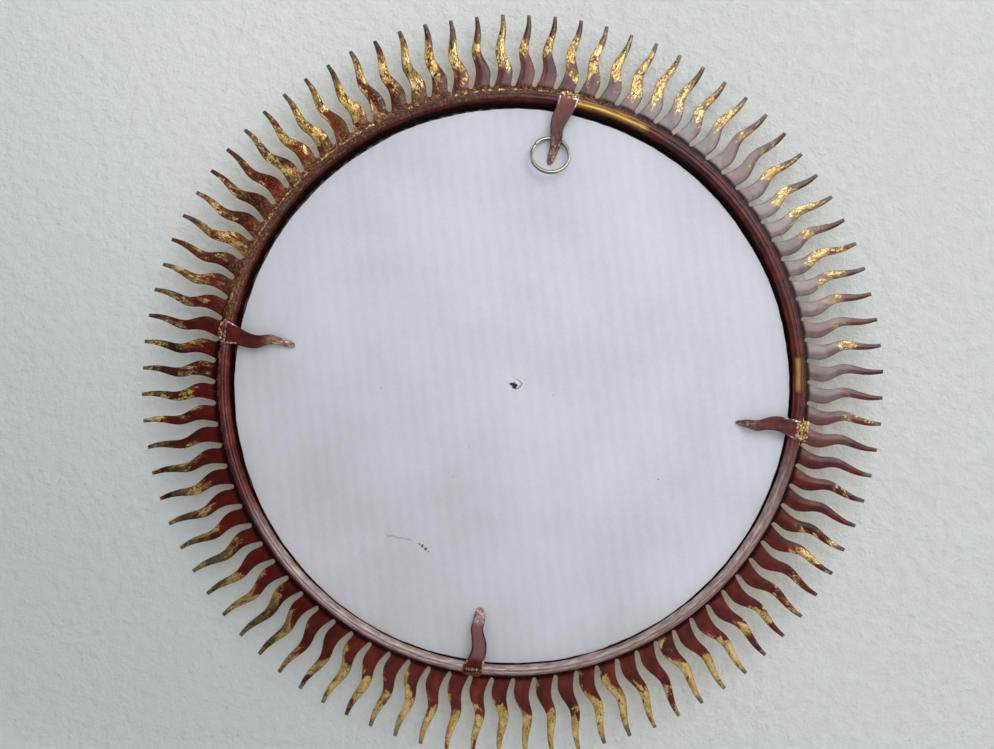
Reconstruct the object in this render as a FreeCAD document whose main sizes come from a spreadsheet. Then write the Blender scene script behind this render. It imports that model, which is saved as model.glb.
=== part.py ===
import FreeCAD, Part
import Sketcher
import math
import os
import re

# A round sunburst wall mirror of painted and gilded sheet metal, modelled piece by piece.
# Frame: Z is up with the hanging ring at the top, the glass looks along -Y, and the back,
# which hangs against a wall, looks along +Y. The origin is on the disc's axis, in the plane
# that touches the wall. Angles are degrees, clockwise as seen from the back.

doc = FreeCAD.newDocument("sunburst_mirror")
sheet = doc.addObject("Spreadsheet::Sheet", "Sizes")

SIZES = [
    ("pane_radius", 165.0, "mirror glass, and the card behind it"),
    ("glass_thickness", 3.0, "mirror glass"),
    ("glass_arris", 0.4, "ground edge of the glass"),
    ("hoop_play", 2.3, "between the hoop and a pane that sits in its middle"),
    ("rest_gap", 0.1, "what is left of that play where the panes rest on the hoop"),
    ("hoop_gauge", 0.8, "sheet of the hoop"),
    ("bead_diameter", 5.2, "rolled edge of the hoop, over its wire"),
    ("roll_angle", 285.0, "degrees that the hoop's edge is rolled round its wire"),
    ("wire_fit", 0.05, "play between the wire and the sheet rolled over it"),
    ("seat_gap", 0.05, "film between parts that are soldered or pressed together"),
    ("plate_gauge", 0.8, "sheet of the rays"),
    ("plate_fit", 0.2, "play between the ray strips and the hoop they are slid over"),
    ("root_margin", 3.1, "from the bead out to the bottoms of the gaps between rays"),
    ("ray_length", 44.4, "from those bottoms to the cut ends of the rays"),
    ("ray_count", 88, "rays round the disc"),
    ("strip_count", 8, "arcs of sheet that the rays are cut in"),
    ("ray_offset_angle", 0.45, "degrees that the rays as a whole are turned clockwise"),
    ("ray_drift_angle", 1.2, "degrees, at the most, that a ray has drifted from even spacing"),
    ("ray_drift_peak_angle", 35.0, "degrees, where the rays have drifted clockwise the most"),
    ("bezel_gauge", 0.8, "sheet of the front moulding"),
    ("bezel_foot", 5.9, "front moulding's outer foot, out from the hoop, on the rays"),
    ("bezel_lap", 7.0, "front moulding's inner foot, in over the glass"),
    ("liner_thickness", 0.3, "paper faces of the corrugated board"),
    ("fluting_gauge", 0.25, "wavy paper inside the board"),
    ("flute_height", 3.4, "space between the two paper faces"),
    ("flute_pitch", 7.7, "one wave of the board"),
    ("flute_angle", 16.7, "degrees that the waves lean from upright"),
    ("card_recess", 6.0, "card's back below the top of the bead"),
    ("nail_hole_radius", 2.6, "torn hole near the middle of the card"),
    ("nail_hole_corners", 7, "corners of that hole"),
    ("nail_hole_across", -1.8, "place of the torn hole along X"),
    ("nail_hole_up", 1.5, "place of the torn hole along Z"),
    ("tab_gauge", 0.9, "sheet of the four holding tabs"),
    ("tab_length", 37.0, "ridge of the bead to a tab's tip, for the middling tab"),
    ("tab_root_width", 12.5, "tab where it crosses the bead"),
    ("tab_knee", 1.9, "from the ridge of the bead to where the tab bends down"),
    ("tab_bend_radius", 8.0, "gentle bends along the tab"),
    ("solder_length", 15.0, "bar of solder at a tab's foot, along the rim"),
    ("solder_width", 6.0, "the same bar, across the rim"),
    ("ring_outer_diameter", 24.4, "split ring"),
    ("ring_wire_width", 1.8, "split ring's wire, from its inside to its outside"),
    ("ring_wire_height", 1.0, "split ring's wire, along the ring's axis"),
    ("ring_turn_gap", 0.45, "between the two turns of the split ring"),
    ("ring_setback", 24.4, "ridge of the bead to the arc of the ring that the top tab holds"),
    ("ring_aside", -1.3, "place of the ring's middle along X"),
    ("ring_drop", 0.5, "that arc's middle below the middle of the room it has"),
    ("loop_play", 0.9, "room round the ring's wire, to the card and to the tab"),
    ("ring_angle", 13.0, "degrees that the ring stands off the card"),
]
for row, (alias, number, note) in enumerate(SIZES, start=1):
    sheet.set(f"A{row}", alias)
    sheet.set(f"B{row}", str(number))
    sheet.set(f"C{row}", note)
    sheet.setAlias(f"B{row}", alias)
doc.recompute()
ALIASES = {alias for alias, number, note in SIZES}

# Levels and radii that follow from the sizes. Levels are places along Y.
RULES = {
    "pane_drop": "hoop_play - rest_gap",
    "hoop_inner_radius": "pane_radius + hoop_play",
    "hoop_outer_radius": "hoop_inner_radius + hoop_gauge",
    "bead_radius": "bead_diameter / 2",
    "bead_ring_radius": "hoop_inner_radius + bead_radius",
    "bead_edge_radius": "bead_ring_radius + bead_radius",
    "wire_room_radius": "bead_radius - hoop_gauge",
    "wire_radius": "wire_room_radius - wire_fit",
    "plate_inner_radius": "hoop_outer_radius + plate_fit",
    "root_radius": "bead_edge_radius + root_margin",
    "tip_radius": "root_radius + ray_length",
    "bead_level": "-(tab_gauge + bead_radius)",
    "plate_back": "-(tab_gauge + bead_diameter)",
    "plate_front": "plate_back - plate_gauge",
    "card_back": "-(tab_gauge + card_recess)",
    "flute_back": "card_back - liner_thickness",
    "flute_front": "flute_back - flute_height",
    "glass_back": "flute_front - liner_thickness",
    "glass_front": "glass_back - glass_thickness",
    "bezel_outer_radius": "hoop_outer_radius + bezel_foot",
    "bezel_width": "bezel_outer_radius - pane_radius + bezel_lap",
    "bezel_depth": "plate_front - glass_front",
    "bezel_curve": "(bezel_width ^ 2 + bezel_depth ^ 2) / (2 * bezel_width)",
    "bezel_ring_radius": "bezel_outer_radius - bezel_curve",
    "bezel_hollow": "bezel_curve - bezel_gauge",
    "hollow_at_hoop": "sqrt(bezel_hollow ^ 2 - (hoop_outer_radius - bezel_ring_radius) ^ 2)",
    "wall_front": "plate_front - hollow_at_hoop + seat_gap",
    "tab_leg_radius": "bead_edge_radius + seat_gap + tab_gauge / 2",
    "ring_radius": "(ring_outer_diameter - ring_wire_width) / 2",
    "ring_turn_pitch": "ring_wire_height + ring_turn_gap",
    "ring_stack": "ring_turn_pitch + ring_wire_height",
    "loop_height": "sqrt(ring_wire_width ^ 2 + ring_stack ^ 2) + 2 * loop_play",
    "ring_pivot_radius": "bead_ring_radius - ring_setback",
    "ring_pivot_level": "card_back + loop_height / 2 - ring_drop",
}


def spelled(rule):
    """Writes a rule out as an expression on the sheet's cells."""
    def word(match):
        name = match.group(0)
        if name in RULES:
            return "(" + spelled(RULES[name]) + ")"
        return "Sizes." + name if name in ALIASES else name
    return re.sub(r"[a-z][a-z_]+", word, rule)


def value(rule):
    return float(sheet.evalExpression(spelled(rule)))


def bind(item, **rules):
    for name, rule in rules.items():
        item.setExpression(name.replace("__", "."), spelled(rule))
    return item


X_AXIS = FreeCAD.Vector(1, 0, 0)
Y_AXIS = FreeCAD.Vector(0, 1, 0)
Z_AXIS = FreeCAD.Vector(0, 0, 1)
Z_TO_Y = FreeCAD.Rotation(X_AXIS, -90)
subparts = []


def keep(item, label):
    """Marks a finished object as a sub-part with a name of its own."""
    item.Label = label
    subparts.append(item)
    return item


def turned(clockwise):
    """The placement of a piece that is turned clockwise about the disc's axis."""
    return FreeCAD.Placement(FreeCAD.Vector(), FreeCAD.Rotation(Y_AXIS, -clockwise))


# Helpers for round pieces: a cylinder, tube or torus whose axis is the disc's axis
def cylinder(name, radius, front, depth):
    item = doc.addObject("Part::Cylinder", name)
    item.Placement = FreeCAD.Placement(FreeCAD.Vector(), Z_TO_Y)
    return bind(item, Radius=radius, Height=depth, Placement__Base__y=front)


def torus(name, ring_radius, tube_radius, level):
    item = doc.addObject("Part::Torus", name)
    item.Placement = FreeCAD.Placement(FreeCAD.Vector(), Z_TO_Y)
    return bind(item, Radius1=ring_radius, Radius2=tube_radius, Placement__Base__y=level)


def cut(name, base, tool):
    item = doc.addObject("Part::Cut", name)
    item.Base = base
    item.Tool = tool
    return item


def body_sketch(label, plane_role):
    """A body with an empty sketch on one of its own origin planes."""
    body = doc.addObject("PartDesign::Body", label)
    plane = [part for part in body.Origin.OriginFeatures if part.Role == plane_role][0]
    sketch = body.newObject("Sketcher::SketchObject", label + "_sketch")
    sketch.AttachmentSupport = (plane, [""])
    sketch.MapMode = "FlatFace"
    return body, sketch


def constrain(sketch, rule, *constraint):
    """Adds a constraint and, where a rule is given, ties its number to that rule."""
    if rule is None:
        sketch.addConstraint(Sketcher.Constraint(*constraint))
        return
    number = value(rule)
    if constraint[0] == "Angle":
        number = math.radians(number)
    index = sketch.addConstraint(Sketcher.Constraint(*constraint, number))
    sketch.setExpression(f"Constraints[{index}]", spelled(rule))


# What a sketch's constraints call the origin, and the start, end and middle of a line or an arc
START_INDEX, END_INDEX, MIDDLE_INDEX = 1, 2, 3
ORIGIN_INDICES = (-1, 1)


# Flat discs: a circle on a body's own XZ plane, padded towards the front
def disc_body(label, back, depth):
    body, sketch = body_sketch(label, "XZ_Plane")
    bind(sketch, AttachmentOffset__Base__z=f"-({back})")
    edge = sketch.addGeometry(Part.Circle(FreeCAD.Vector(), Z_AXIS, value("pane_radius")), False)
    constrain(sketch, None, "Coincident", edge, MIDDLE_INDEX, *ORIGIN_INDICES)
    constrain(sketch, "pane_radius", "Radius", edge)
    pad = body.newObject("PartDesign::Pad", label + "_pad")
    pad.Profile = sketch
    bind(pad, Length=depth)
    body.Tip = pad
    bind(body, Placement__Base__z="-pane_drop")
    doc.recompute()
    return body


# Mirror glass, resting on the hoop, with its edges ground
glass = disc_body("mirror_glass", "glass_back", "glass_thickness")
glass_pad = glass.Tip
rims = [f"Edge{number}" for number, edge in enumerate(glass_pad.Shape.Edges, start=1)
        if isinstance(edge.Curve, Part.Circle)]
arris = glass.newObject("PartDesign::Chamfer", "glass_arris")
arris.Base = (glass_pad, rims)
bind(arris, Size="glass_arris")
glass.Tip = arris
keep(glass, "mirror_glass")

# Corrugated board: two paper faces and a wavy one between them
keep(disc_body("card_front_liner", "flute_front", "liner_thickness"), "card_front_liner")
back_liner_disc = disc_body("back_liner_disc", "card_back", "liner_thickness")
nail_hole = doc.addObject("Part::Prism", "nail_hole")
nail_hole.Placement = FreeCAD.Placement(FreeCAD.Vector(), Z_TO_Y)
bind(nail_hole, Polygon="nail_hole_corners", Circumradius="nail_hole_radius",
     Height="3 * liner_thickness", Placement__Base__x="nail_hole_across",
     Placement__Base__y="flute_back - liner_thickness", Placement__Base__z="nail_hole_up - pane_drop")
keep(cut("card_back_liner", back_liner_disc, nail_hole), "card_back_liner")


def fluting_shape():
    """The wavy paper as a chain of arcs, one up and one down, cut to the card's round."""
    half_wave = value("flute_pitch / 2")
    rise = value("(flute_height - fluting_gauge) / 2")
    arc_radius = (half_wave ** 2 / 4 + rise ** 2) / (2 * rise)
    half_gauge = value("fluting_gauge / 2")
    steep = math.asin(half_wave / 2 / arc_radius)
    reach = value("pane_radius")
    count = 2 * math.ceil(reach / half_wave)

    def side(offset):
        edges = []
        for step in range(count):
            up = 1 if step % 2 == 0 else -1
            radius = arc_radius + up * offset
            middle = FreeCAD.Vector((step + 0.5 - count / 2) * half_wave, up * (rise - arc_radius), 0)
            points = [middle + FreeCAD.Vector(radius * math.sin(turn), up * radius * math.cos(turn), 0)
                      for turn in (-steep, 0, steep)]
            edges.append(Part.Arc(*points).toShape())
        return edges

    upper, lower = side(half_gauge), side(-half_gauge)
    ends = [Part.makeLine(upper[0].firstVertex().Point, lower[0].firstVertex().Point),
            Part.makeLine(upper[-1].lastVertex().Point, lower[-1].lastVertex().Point)]
    profile = Part.Face(Part.Wire(Part.__sortEdges__(upper + lower + ends)))
    profile.translate(FreeCAD.Vector(0, 0, -reach))
    sheet_of_waves = profile.extrude(FreeCAD.Vector(0, 0, 2 * reach))
    disc = Part.makeCylinder(reach, value("flute_height"), FreeCAD.Vector(0, -value("flute_height / 2"), 0),
                             Y_AXIS)
    return sheet_of_waves.common(disc).Solids[0]


fluting = doc.addObject("Part::Feature", "card_fluting")
fluting.Shape = fluting_shape()
fluting.Placement = FreeCAD.Placement(
    FreeCAD.Vector(0, value("(flute_back + flute_front) / 2"), -value("pane_drop")),
    FreeCAD.Rotation(Y_AXIS, value("flute_angle")))
keep(fluting, "card_fluting")

# Hoop: a wall whose back edge is rolled outwards over a wire, revolved about the disc's axis. In the
# sketch, across is Y and up is the distance from the disc's axis.
def arc_from_inside(radius):
    """The roll at one of its radii: it starts at its innermost point and turns round the back."""
    circle = Part.Circle(FreeCAD.Vector(value("bead_level"), value("bead_ring_radius"), 0), Z_AXIS, radius)
    start = -math.pi / 2
    return Part.ArcOfCircle(circle, start, start + math.radians(value("roll_angle")))


def straight(start, end):
    return Part.LineSegment(FreeCAD.Vector(*start, 0), FreeCAD.Vector(*end, 0))


def rim_hoop_body():
    body, sketch = body_sketch("rim_hoop", "YZ_Plane")
    outer, inner = arc_from_inside(value("bead_radius")), arc_from_inside(value("wire_room_radius"))
    front, level = value("wall_front"), value("bead_level")
    low, high = value("hoop_inner_radius"), value("hoop_outer_radius")
    wall_in, outside, lip, inside, wall_out, foot = sketch.addGeometry([
        straight((front, low), (level, low)), outer,
        Part.LineSegment(outer.EndPoint, inner.EndPoint), inner,
        straight((level, high), (front, high)), straight((front, high), (front, low))], False)
    corners = [(wall_in, END_INDEX, outside, START_INDEX), (outside, END_INDEX, lip, START_INDEX),
               (lip, END_INDEX, inside, END_INDEX), (inside, START_INDEX, wall_out, START_INDEX),
               (wall_out, END_INDEX, foot, START_INDEX), (foot, END_INDEX, wall_in, START_INDEX),
               (outside, MIDDLE_INDEX, inside, MIDDLE_INDEX)]
    for corner in corners:
        constrain(sketch, None, "Coincident", *corner)
    for line in (wall_in, wall_out):
        constrain(sketch, None, "Horizontal", line)
    constrain(sketch, None, "Vertical", foot)
    for arc, radius in ((outside, "bead_radius"), (inside, "wire_room_radius")):
        constrain(sketch, radius, "Radius", arc)
        constrain(sketch, "roll_angle", "Angle", arc)
        constrain(sketch, None, "Vertical", arc, MIDDLE_INDEX, arc, START_INDEX)
    constrain(sketch, "-bead_level", "DistanceX", outside, MIDDLE_INDEX, *ORIGIN_INDICES)
    constrain(sketch, "bead_ring_radius", "DistanceY", *ORIGIN_INDICES, outside, MIDDLE_INDEX)
    constrain(sketch, "-wall_front", "DistanceX", foot, START_INDEX, *ORIGIN_INDICES)
    hoop = body.newObject("PartDesign::Revolution", "hoop_revolution")
    hoop.Profile = sketch
    hoop.ReferenceAxis = (sketch, ["H_Axis"])
    body.Tip = hoop
    return body


keep(rim_hoop_body(), "rim_hoop")
keep(torus("rim_wire", "bead_ring_radius", "wire_radius", "bead_level"), "rim_wire")

# Front moulding: a half-round shell from the rays in to the edge of the seen glass
shell_outside = torus("shell_outside", "bezel_ring_radius", "bezel_curve", "plate_front")
shell_inside = torus("shell_inside", "bezel_ring_radius", "bezel_hollow", "plate_front")
shell = cut("shell", shell_outside, shell_inside)
behind_rays = cylinder("behind_rays", "bezel_outer_radius + bezel_width", "plate_front", "2 * bezel_curve")
behind_glass = cylinder("behind_glass", "bezel_ring_radius", "glass_front", "2 * bezel_curve")
half_shell = cut("half_shell", shell, behind_rays)
keep(cut("front_bezel", half_shell, behind_glass), "front_bezel")

# Rays. Along a ray, from its root to its tip: the place as a share of its length, then how far its
# middle lies clockwise and how wide it is, as shares of the spacing of the rays at their roots.
RAY_SHARES = [
    (0.04, -0.040, 0.775),
    (0.18, 0.090, 0.735),
    (0.30, 0.063, 0.640),
    (0.45, -0.119, 0.510),
    (0.55, -0.143, 0.440),
    (0.70, -0.036, 0.360),
    (0.85, 0.040, 0.265),
    (1.00, 0.016, 0.175),
]


def disc_point(clockwise, radius, across=0.0):
    """A point of the disc's plane, at an angle and radius, and shifted clockwise."""
    turn = math.radians(clockwise)
    outwards = FreeCAD.Vector(-math.sin(turn), 0, math.cos(turn))
    sideways = FreeCAD.Vector(-math.cos(turn), 0, -math.sin(turn))
    return outwards * radius + sideways * across


def smooth_edge(points):
    curve = Part.BSplineCurve()
    curve.interpolate(points)
    return curve.toShape()


RAYS_PER_STRIP = round(value("ray_count / strip_count"))
EVEN_PITCH_ANGLE = 360.0 / (RAYS_PER_STRIP * round(value("strip_count")))


def ray_angle(number):
    """Where a ray stands: evenly spaced but for a slow drift, as in hand work closed up by eye."""
    even = number * EVEN_PITCH_ANGLE
    swing = math.cos(math.radians(even - value("ray_drift_peak_angle")))
    return even + value("ray_offset_angle") + value("ray_drift_angle") * swing


def ray_sides(number, root, tip, spacing):
    """The points along a ray's two edges, from its root to its tip."""
    left, right = [], []
    for along, middle, width in RAY_SHARES:
        radius = root + along * (tip - root)
        left.append(disc_point(ray_angle(number), radius, (middle - width / 2) * spacing))
        right.append(disc_point(ray_angle(number), radius, (middle + width / 2) * spacing))
    return left, right


def ray_strip_shape(first_ray):
    """One arc of sheet with its rays. The gaps between them are round at the bottom."""
    root, tip, inner = value("root_radius"), value("tip_radius"), value("plate_inner_radius")
    spacing = math.radians(EVEN_PITCH_ANGLE) * root
    gap_shift = RAY_SHARES[0][1] * spacing
    edges, bottoms, gap_angles = [], [], []
    for gap in range(RAYS_PER_STRIP + 1):
        before, after = first_ray + gap - 1, first_ray + gap
        gap_angles.append((ray_angle(before) + ray_angle(after)) / 2)
        bottoms.append(disc_point(gap_angles[-1], root, gap_shift))
        left, right = ray_sides(after, root, tip, spacing)
        arc = Part.Arc(ray_sides(before, root, tip, spacing)[1][0], bottoms[-1], left[0])
        deep = arc.parameter(bottoms[-1])
        low = deep if gap == 0 else arc.FirstParameter
        high = deep if gap == RAYS_PER_STRIP else arc.LastParameter
        edges.append(arc.toShape(low, high))
        if gap < RAYS_PER_STRIP:
            edges += [smooth_edge(left), Part.makeLine(left[-1], right[-1]), smooth_edge(right[::-1])]
    first, last = [bottom * (inner / bottom.Length) for bottom in (bottoms[0], bottoms[-1])]
    middle = disc_point((gap_angles[0] + gap_angles[-1]) / 2, inner)
    edges += [Part.makeLine(bottoms[-1], last), Part.Arc(last, middle, first).toShape(),
              Part.makeLine(first, bottoms[0])]
    return Part.Face(Part.Wire(edges)).extrude(FreeCAD.Vector(0, -value("plate_gauge"), 0))


for number in range(round(value("strip_count"))):
    strip = doc.addObject("Part::Feature", f"ray_strip_{number + 1}")
    strip.Shape = ray_strip_shape(number * RAYS_PER_STRIP - RAYS_PER_STRIP // 2)
    strip.Placement.Base = FreeCAD.Vector(0, value("plate_back"), 0)
    keep(strip, f"ray_strip_{number + 1}")


# Holding tabs: strips of sheet bent over the bead and down to the card
def rounded_run(points, radii):
    """Straight runs through the points, joined by tangent arcs at the inner ones."""
    edges = []
    here = points[0]
    for before, corner, after, radius in zip(points, points[1:], points[2:], radii):
        back = (before - corner).normalize()
        ahead = (after - corner).normalize()
        half_angle = back.getAngle(ahead) / 2
        reach = radius / math.tan(half_angle)
        start, end = corner + back * reach, corner + ahead * reach
        bisector = (back + ahead).normalize()
        middle = corner + bisector * (radius / math.sin(half_angle) - radius)
        edges += [Part.makeLine(here, start), Part.Arc(start, middle, end).toShape()]
        here = end
    edges.append(Part.makeLine(here, points[-1]))
    return edges


def bent_sheet(points, radii, gauge):
    """The side view of a bent sheet, from the line along its middle, as a face across X."""
    def offset_side(side):
        headings = [(end - start).normalize() for start, end in zip(points, points[1:])]
        normals = [FreeCAD.Vector(0, -heading.z, heading.y) for heading in headings]
        corners = [points[0] + normals[0] * (side * gauge / 2)]
        side_radii = []
        for k in range(1, len(points) - 1):
            miter = (normals[k - 1] + normals[k]) * (1 / (1 + normals[k - 1].dot(normals[k])))
            corners.append(points[k] + miter * (side * gauge / 2))
            turn = headings[k - 1].cross(headings[k]).x
            side_radii.append(radii[k - 1] - side * math.copysign(gauge / 2, turn))
        corners.append(points[-1] + normals[-1] * (side * gauge / 2))
        return rounded_run(corners, side_radii)
    near, far = offset_side(1), offset_side(-1)
    caps = [Part.makeLine(near[0].firstVertex().Point, far[0].firstVertex().Point),
            Part.makeLine(near[-1].lastVertex().Point, far[-1].lastVertex().Point)]
    return Part.Face(Part.Wire(Part.__sortEdges__(near + far + caps)))


# Where the tabs stand and how long each is, as a share of the middling tab. Then its edges at each
# sixth of its length: how far its middle lies anticlockwise there, and its width, both as shares of
# the width that a tab has at the bead.
TAB_ANGLES = {"retaining_tab_top": 2.2, "retaining_tab_right": 90.5,
              "retaining_tab_bottom": 177.1, "retaining_tab_left": 269.1}
TAB_LENGTH_SHARES = {"retaining_tab_top": 1.08, "retaining_tab_right": 0.92,
                     "retaining_tab_bottom": 0.91, "retaining_tab_left": 1.09}
TAB_WAVE_SHARES = {
    "retaining_tab_top": (0.0, 0.064, 0.228, 0.268, 0.168, 0.216, 0.272),
    "retaining_tab_right": (0.0, 0.088, 0.160, 0.072, -0.112, -0.096, -0.132),
    "retaining_tab_bottom": (0.0, 0.120, 0.204, 0.136, -0.016, 0.045, 0.020),
    "retaining_tab_left": (0.0, 0.084, 0.228, 0.224, 0.016, 0.056, 0.120),
}
TAB_WIDTH_SHARES = {
    "retaining_tab_top": (0.95, 0.90, 0.78, 0.62, 0.54, 0.39, 0.26),
    "retaining_tab_right": (0.90, 0.78, 0.69, 0.61, 0.51, 0.37, 0.14),
    "retaining_tab_bottom": (1.02, 0.80, 0.70, 0.67, 0.58, 0.54, 0.30),
    "retaining_tab_left": (1.08, 0.86, 0.71, 0.62, 0.47, 0.32, 0.32),
}


def tab_shape(label):
    gauge, width, ridge = value("tab_gauge"), value("tab_root_width"), value("bead_ring_radius")
    length = value("tab_length") * TAB_LENGTH_SHARES[label]
    wave_shares, width_shares = TAB_WAVE_SHARES[label], TAB_WIDTH_SHARES[label]
    leg, pivot = value("tab_leg_radius"), value("ring_pivot_radius")
    knee = ridge - value("tab_knee")
    top, card, room = -gauge / 2, value("card_back"), value("loop_height")
    dive = math.atan(room / (pivot - (ridge - length)))
    middle = [FreeCAD.Vector(0, level, radius) for level, radius in (
        (value("plate_back"), leg), (top, leg), (top, knee), (card + room + gauge / 2, pivot),
        (card + value("seat_gap") + gauge / 2 * math.cos(dive), ridge - length))]
    wrap, bend = value("bead_radius + seat_gap + tab_gauge / 2"), value("tab_bend_radius")
    side_view = bent_sheet(middle, [wrap, bend, bend], gauge)
    side_view.translate(FreeCAD.Vector(-width, 0, 0))
    ribbon = side_view.extrude(FreeCAD.Vector(2 * width, 0, 0))
    left, right = [], []
    for k, (share, wave) in enumerate(zip(width_shares, wave_shares)):
        along = ridge - length * k / (len(width_shares) - 1)
        left.append(FreeCAD.Vector(width * (wave + share / 2), 0, along))
        right.append(FreeCAD.Vector(width * (wave - share / 2), 0, along))
    half_foot = width * width_shares[0] / 2
    foot_left, foot_right = [FreeCAD.Vector(side * half_foot, 0, leg + gauge) for side in (1, -1)]
    outline = [Part.makeLine(foot_left, left[0]), smooth_edge(left), Part.makeLine(left[-1], right[-1]),
               smooth_edge(right[::-1]), Part.makeLine(right[0], foot_right),
               Part.makeLine(foot_right, foot_left)]
    plan = Part.Face(Part.Wire(outline))
    depth = value("bead_diameter + card_recess + tab_gauge")
    plan.translate(FreeCAD.Vector(0, -depth, 0))
    return ribbon.common(plan.extrude(FreeCAD.Vector(0, 2 * depth, 0))).Solids[0]


tabs = []
for label, angle in TAB_ANGLES.items():
    tab = doc.addObject("Part::Feature", label)
    tab.Shape = tab_shape(label)
    tab.Placement = turned(angle)
    tabs.append(keep(tab, label))
doc.recompute()


def solder_shape():
    """Bars of solder at the tabs' feet, round at the top and the ends, hugging tab, bead and rays."""
    radius = value("solder_width / 2")
    run = X_AXIS * value("solder_length - solder_width")
    middle = FreeCAD.Vector(0, value("plate_back"), value("bead_edge_radius + tab_gauge"))
    start = middle - run * 0.5
    bar = Part.makeCylinder(radius, run.Length, start, X_AXIS).fuse(
        [Part.makeSphere(radius, start), Part.makeSphere(radius, start + run)])
    rays = Part.makeCylinder(value("tip_radius"), value("solder_width"),
                             Y_AXIS * value("plate_back - solder_width"), Y_AXIS)
    bead = Part.makeTorus(value("bead_ring_radius"), value("bead_radius + seat_gap"),
                          Y_AXIS * value("bead_level"), Y_AXIS)
    pieces = []
    for tab in tabs:
        lump = bar.copy()
        lump.Placement = tab.Placement
        rest = lump.cut([rays, bead, tab.Shape])
        pieces.append(max(rest.Solids, key=lambda solid: solid.Volume))
    return Part.makeCompound(pieces)


solder = doc.addObject("Part::Feature", "tab_solder")
solder.Shape = solder_shape()
keep(solder, "tab_solder")


# Split ring: two turns of flat wire, each turn level, with one step between them
def arc_pair(start, start_way, end, end_way):
    """Two tangent arcs that leave start and reach end along the given directions."""
    chord, sum_way = end - start, start_way + end_way
    bend = 2 * (start_way.dot(end_way) - 1)
    along = 2 * chord.dot(sum_way)
    reach = (along - math.sqrt(along ** 2 - 4 * bend * chord.dot(chord))) / (2 * bend)
    if reach < 0:
        reach = (along + math.sqrt(along ** 2 - 4 * bend * chord.dot(chord))) / (2 * bend)
    corner_a, corner_b = start + start_way * reach, end - end_way * reach
    middle = (corner_a + corner_b) * 0.5

    def arc(first, corner, last):
        centre = (first + last) * 0.5
        half = (last - first).getAngle(corner - first)
        crown = centre + (corner - centre) * (math.tan(half / 2) / math.tan(half))
        return Part.Arc(first, crown, last).toShape()
    return [arc(start, corner_a, middle), arc(middle, corner_b, end)]


# The wire's way round, in degrees: a level turn, the step up, and a level turn on top of the first
LOWER_TURN_DEGREES = (30.0, 335.0)
UPPER_TURN_DEGREES = (385.0, 690.0)
TURN_QUARTERS = 4
MEASURED_POINT_COUNT = 240


def ring_stations():
    """Angles and levels along the wire, in the ring's own frame."""
    high = value("ring_turn_pitch / 2")
    return [(first + (last - first) * quarter / TURN_QUARTERS, level)
            for (first, last), level in ((LOWER_TURN_DEGREES, -high), (UPPER_TURN_DEGREES, high))
            for quarter in range(TURN_QUARTERS + 1)]


def ring_shape():
    radius = value("ring_radius")

    def place(angle, level):
        turn = math.radians(angle)
        return (FreeCAD.Vector(radius * math.cos(turn), radius * math.sin(turn), level),
                FreeCAD.Vector(-math.sin(turn), math.cos(turn), 0))
    stations = [place(angle, level) for angle, level in ring_stations()]
    edges = []
    for (start, start_way), (end, end_way) in zip(stations, stations[1:]):
        edges += arc_pair(start, start_way, end, end_way)
    path = Part.Wire(edges)
    start, start_way = stations[0]
    outwards = FreeCAD.Vector(start.x, start.y, 0).normalize()
    section = Part.Ellipse(start + outwards * value("ring_wire_width / 2"),
                           start + Z_AXIS * value("ring_wire_height / 2"), start)
    pipe = Part.BRepOffsetAPI.MakePipeShell(path)
    pipe.add(Part.Wire(section.toShape()))
    pipe.build()
    pipe.makeSolid()
    measure_turns(path)
    expected = math.pi * value("ring_wire_width * ring_wire_height / 4") * path.Length
    print(f"split ring: volume {pipe.shape().Volume:.2f}, section times length {expected:.2f}")
    return pipe.shape()


def measure_turns(path):
    """Prints the least gap between the two turns, measured on points of the wire's middle."""
    points = path.discretize(MEASURED_POINT_COUNT)
    apart = value("ring_outer_diameter / 4")
    step = path.Length / (len(points) - 1)
    skip = math.ceil(apart / step)
    least = min((a - b).Length for k, a in enumerate(points) for b in points[k + skip:])
    print(f"split ring: least gap between turns {least - value('ring_wire_height'):.2f} mm")


tilt = math.radians(value("ring_angle"))
ring = doc.addObject("Part::Feature", "split_ring")
ring.Shape = ring_shape()
pivot = FreeCAD.Vector(value("ring_aside"), value("ring_pivot_level"), value("ring_pivot_radius"))
hang = FreeCAD.Vector(0, math.sin(tilt), -math.cos(tilt)) * value("ring_radius")
ring.Placement = FreeCAD.Placement(pivot + hang, FreeCAD.Rotation(X_AXIS, 90 + value("ring_angle")))
keep(ring, "split_ring")

doc.recompute()
failed = [item.Name for item in doc.Objects if "Invalid" in item.State or "Error" in item.State]
if failed:
    raise RuntimeError("failed objects: " + ", ".join(failed))
for item in subparts:
    if item.Shape.isNull() or not item.Shape.isValid():
        raise RuntimeError("bad shape: " + item.Label)

os.makedirs("parts", exist_ok=True)
for item in subparts:
    item.Shape.exportStep(f"parts/{item.Label}.step")
    box = item.Shape.BoundBox
    print(f"{item.Label}: {len(item.Shape.Solids)} solid(s), volume {item.Shape.Volume:.0f} mm3, "
          f"y {box.YMin:.2f} to {box.YMax:.2f}")
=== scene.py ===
# %% [markdown]
# # A sunburst wall mirror, seen from behind
#
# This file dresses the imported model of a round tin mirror: a rolled hoop, 88 wavy rays in worn
# gold leaf over red paint, a corrugated card held by four bent tabs, and a split ring to hang it by.
# Every length is in metres, in the model's own frame: Z is up, +Y is the back that we look at,
# and the glass looks along -Y. Each step first says what the real piece is, and then makes it.

# %% Load the frame
import random
from math import cos, hypot, pi, radians, sin

import bmesh
import bpy
from mathutils import Matrix, Vector


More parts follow.
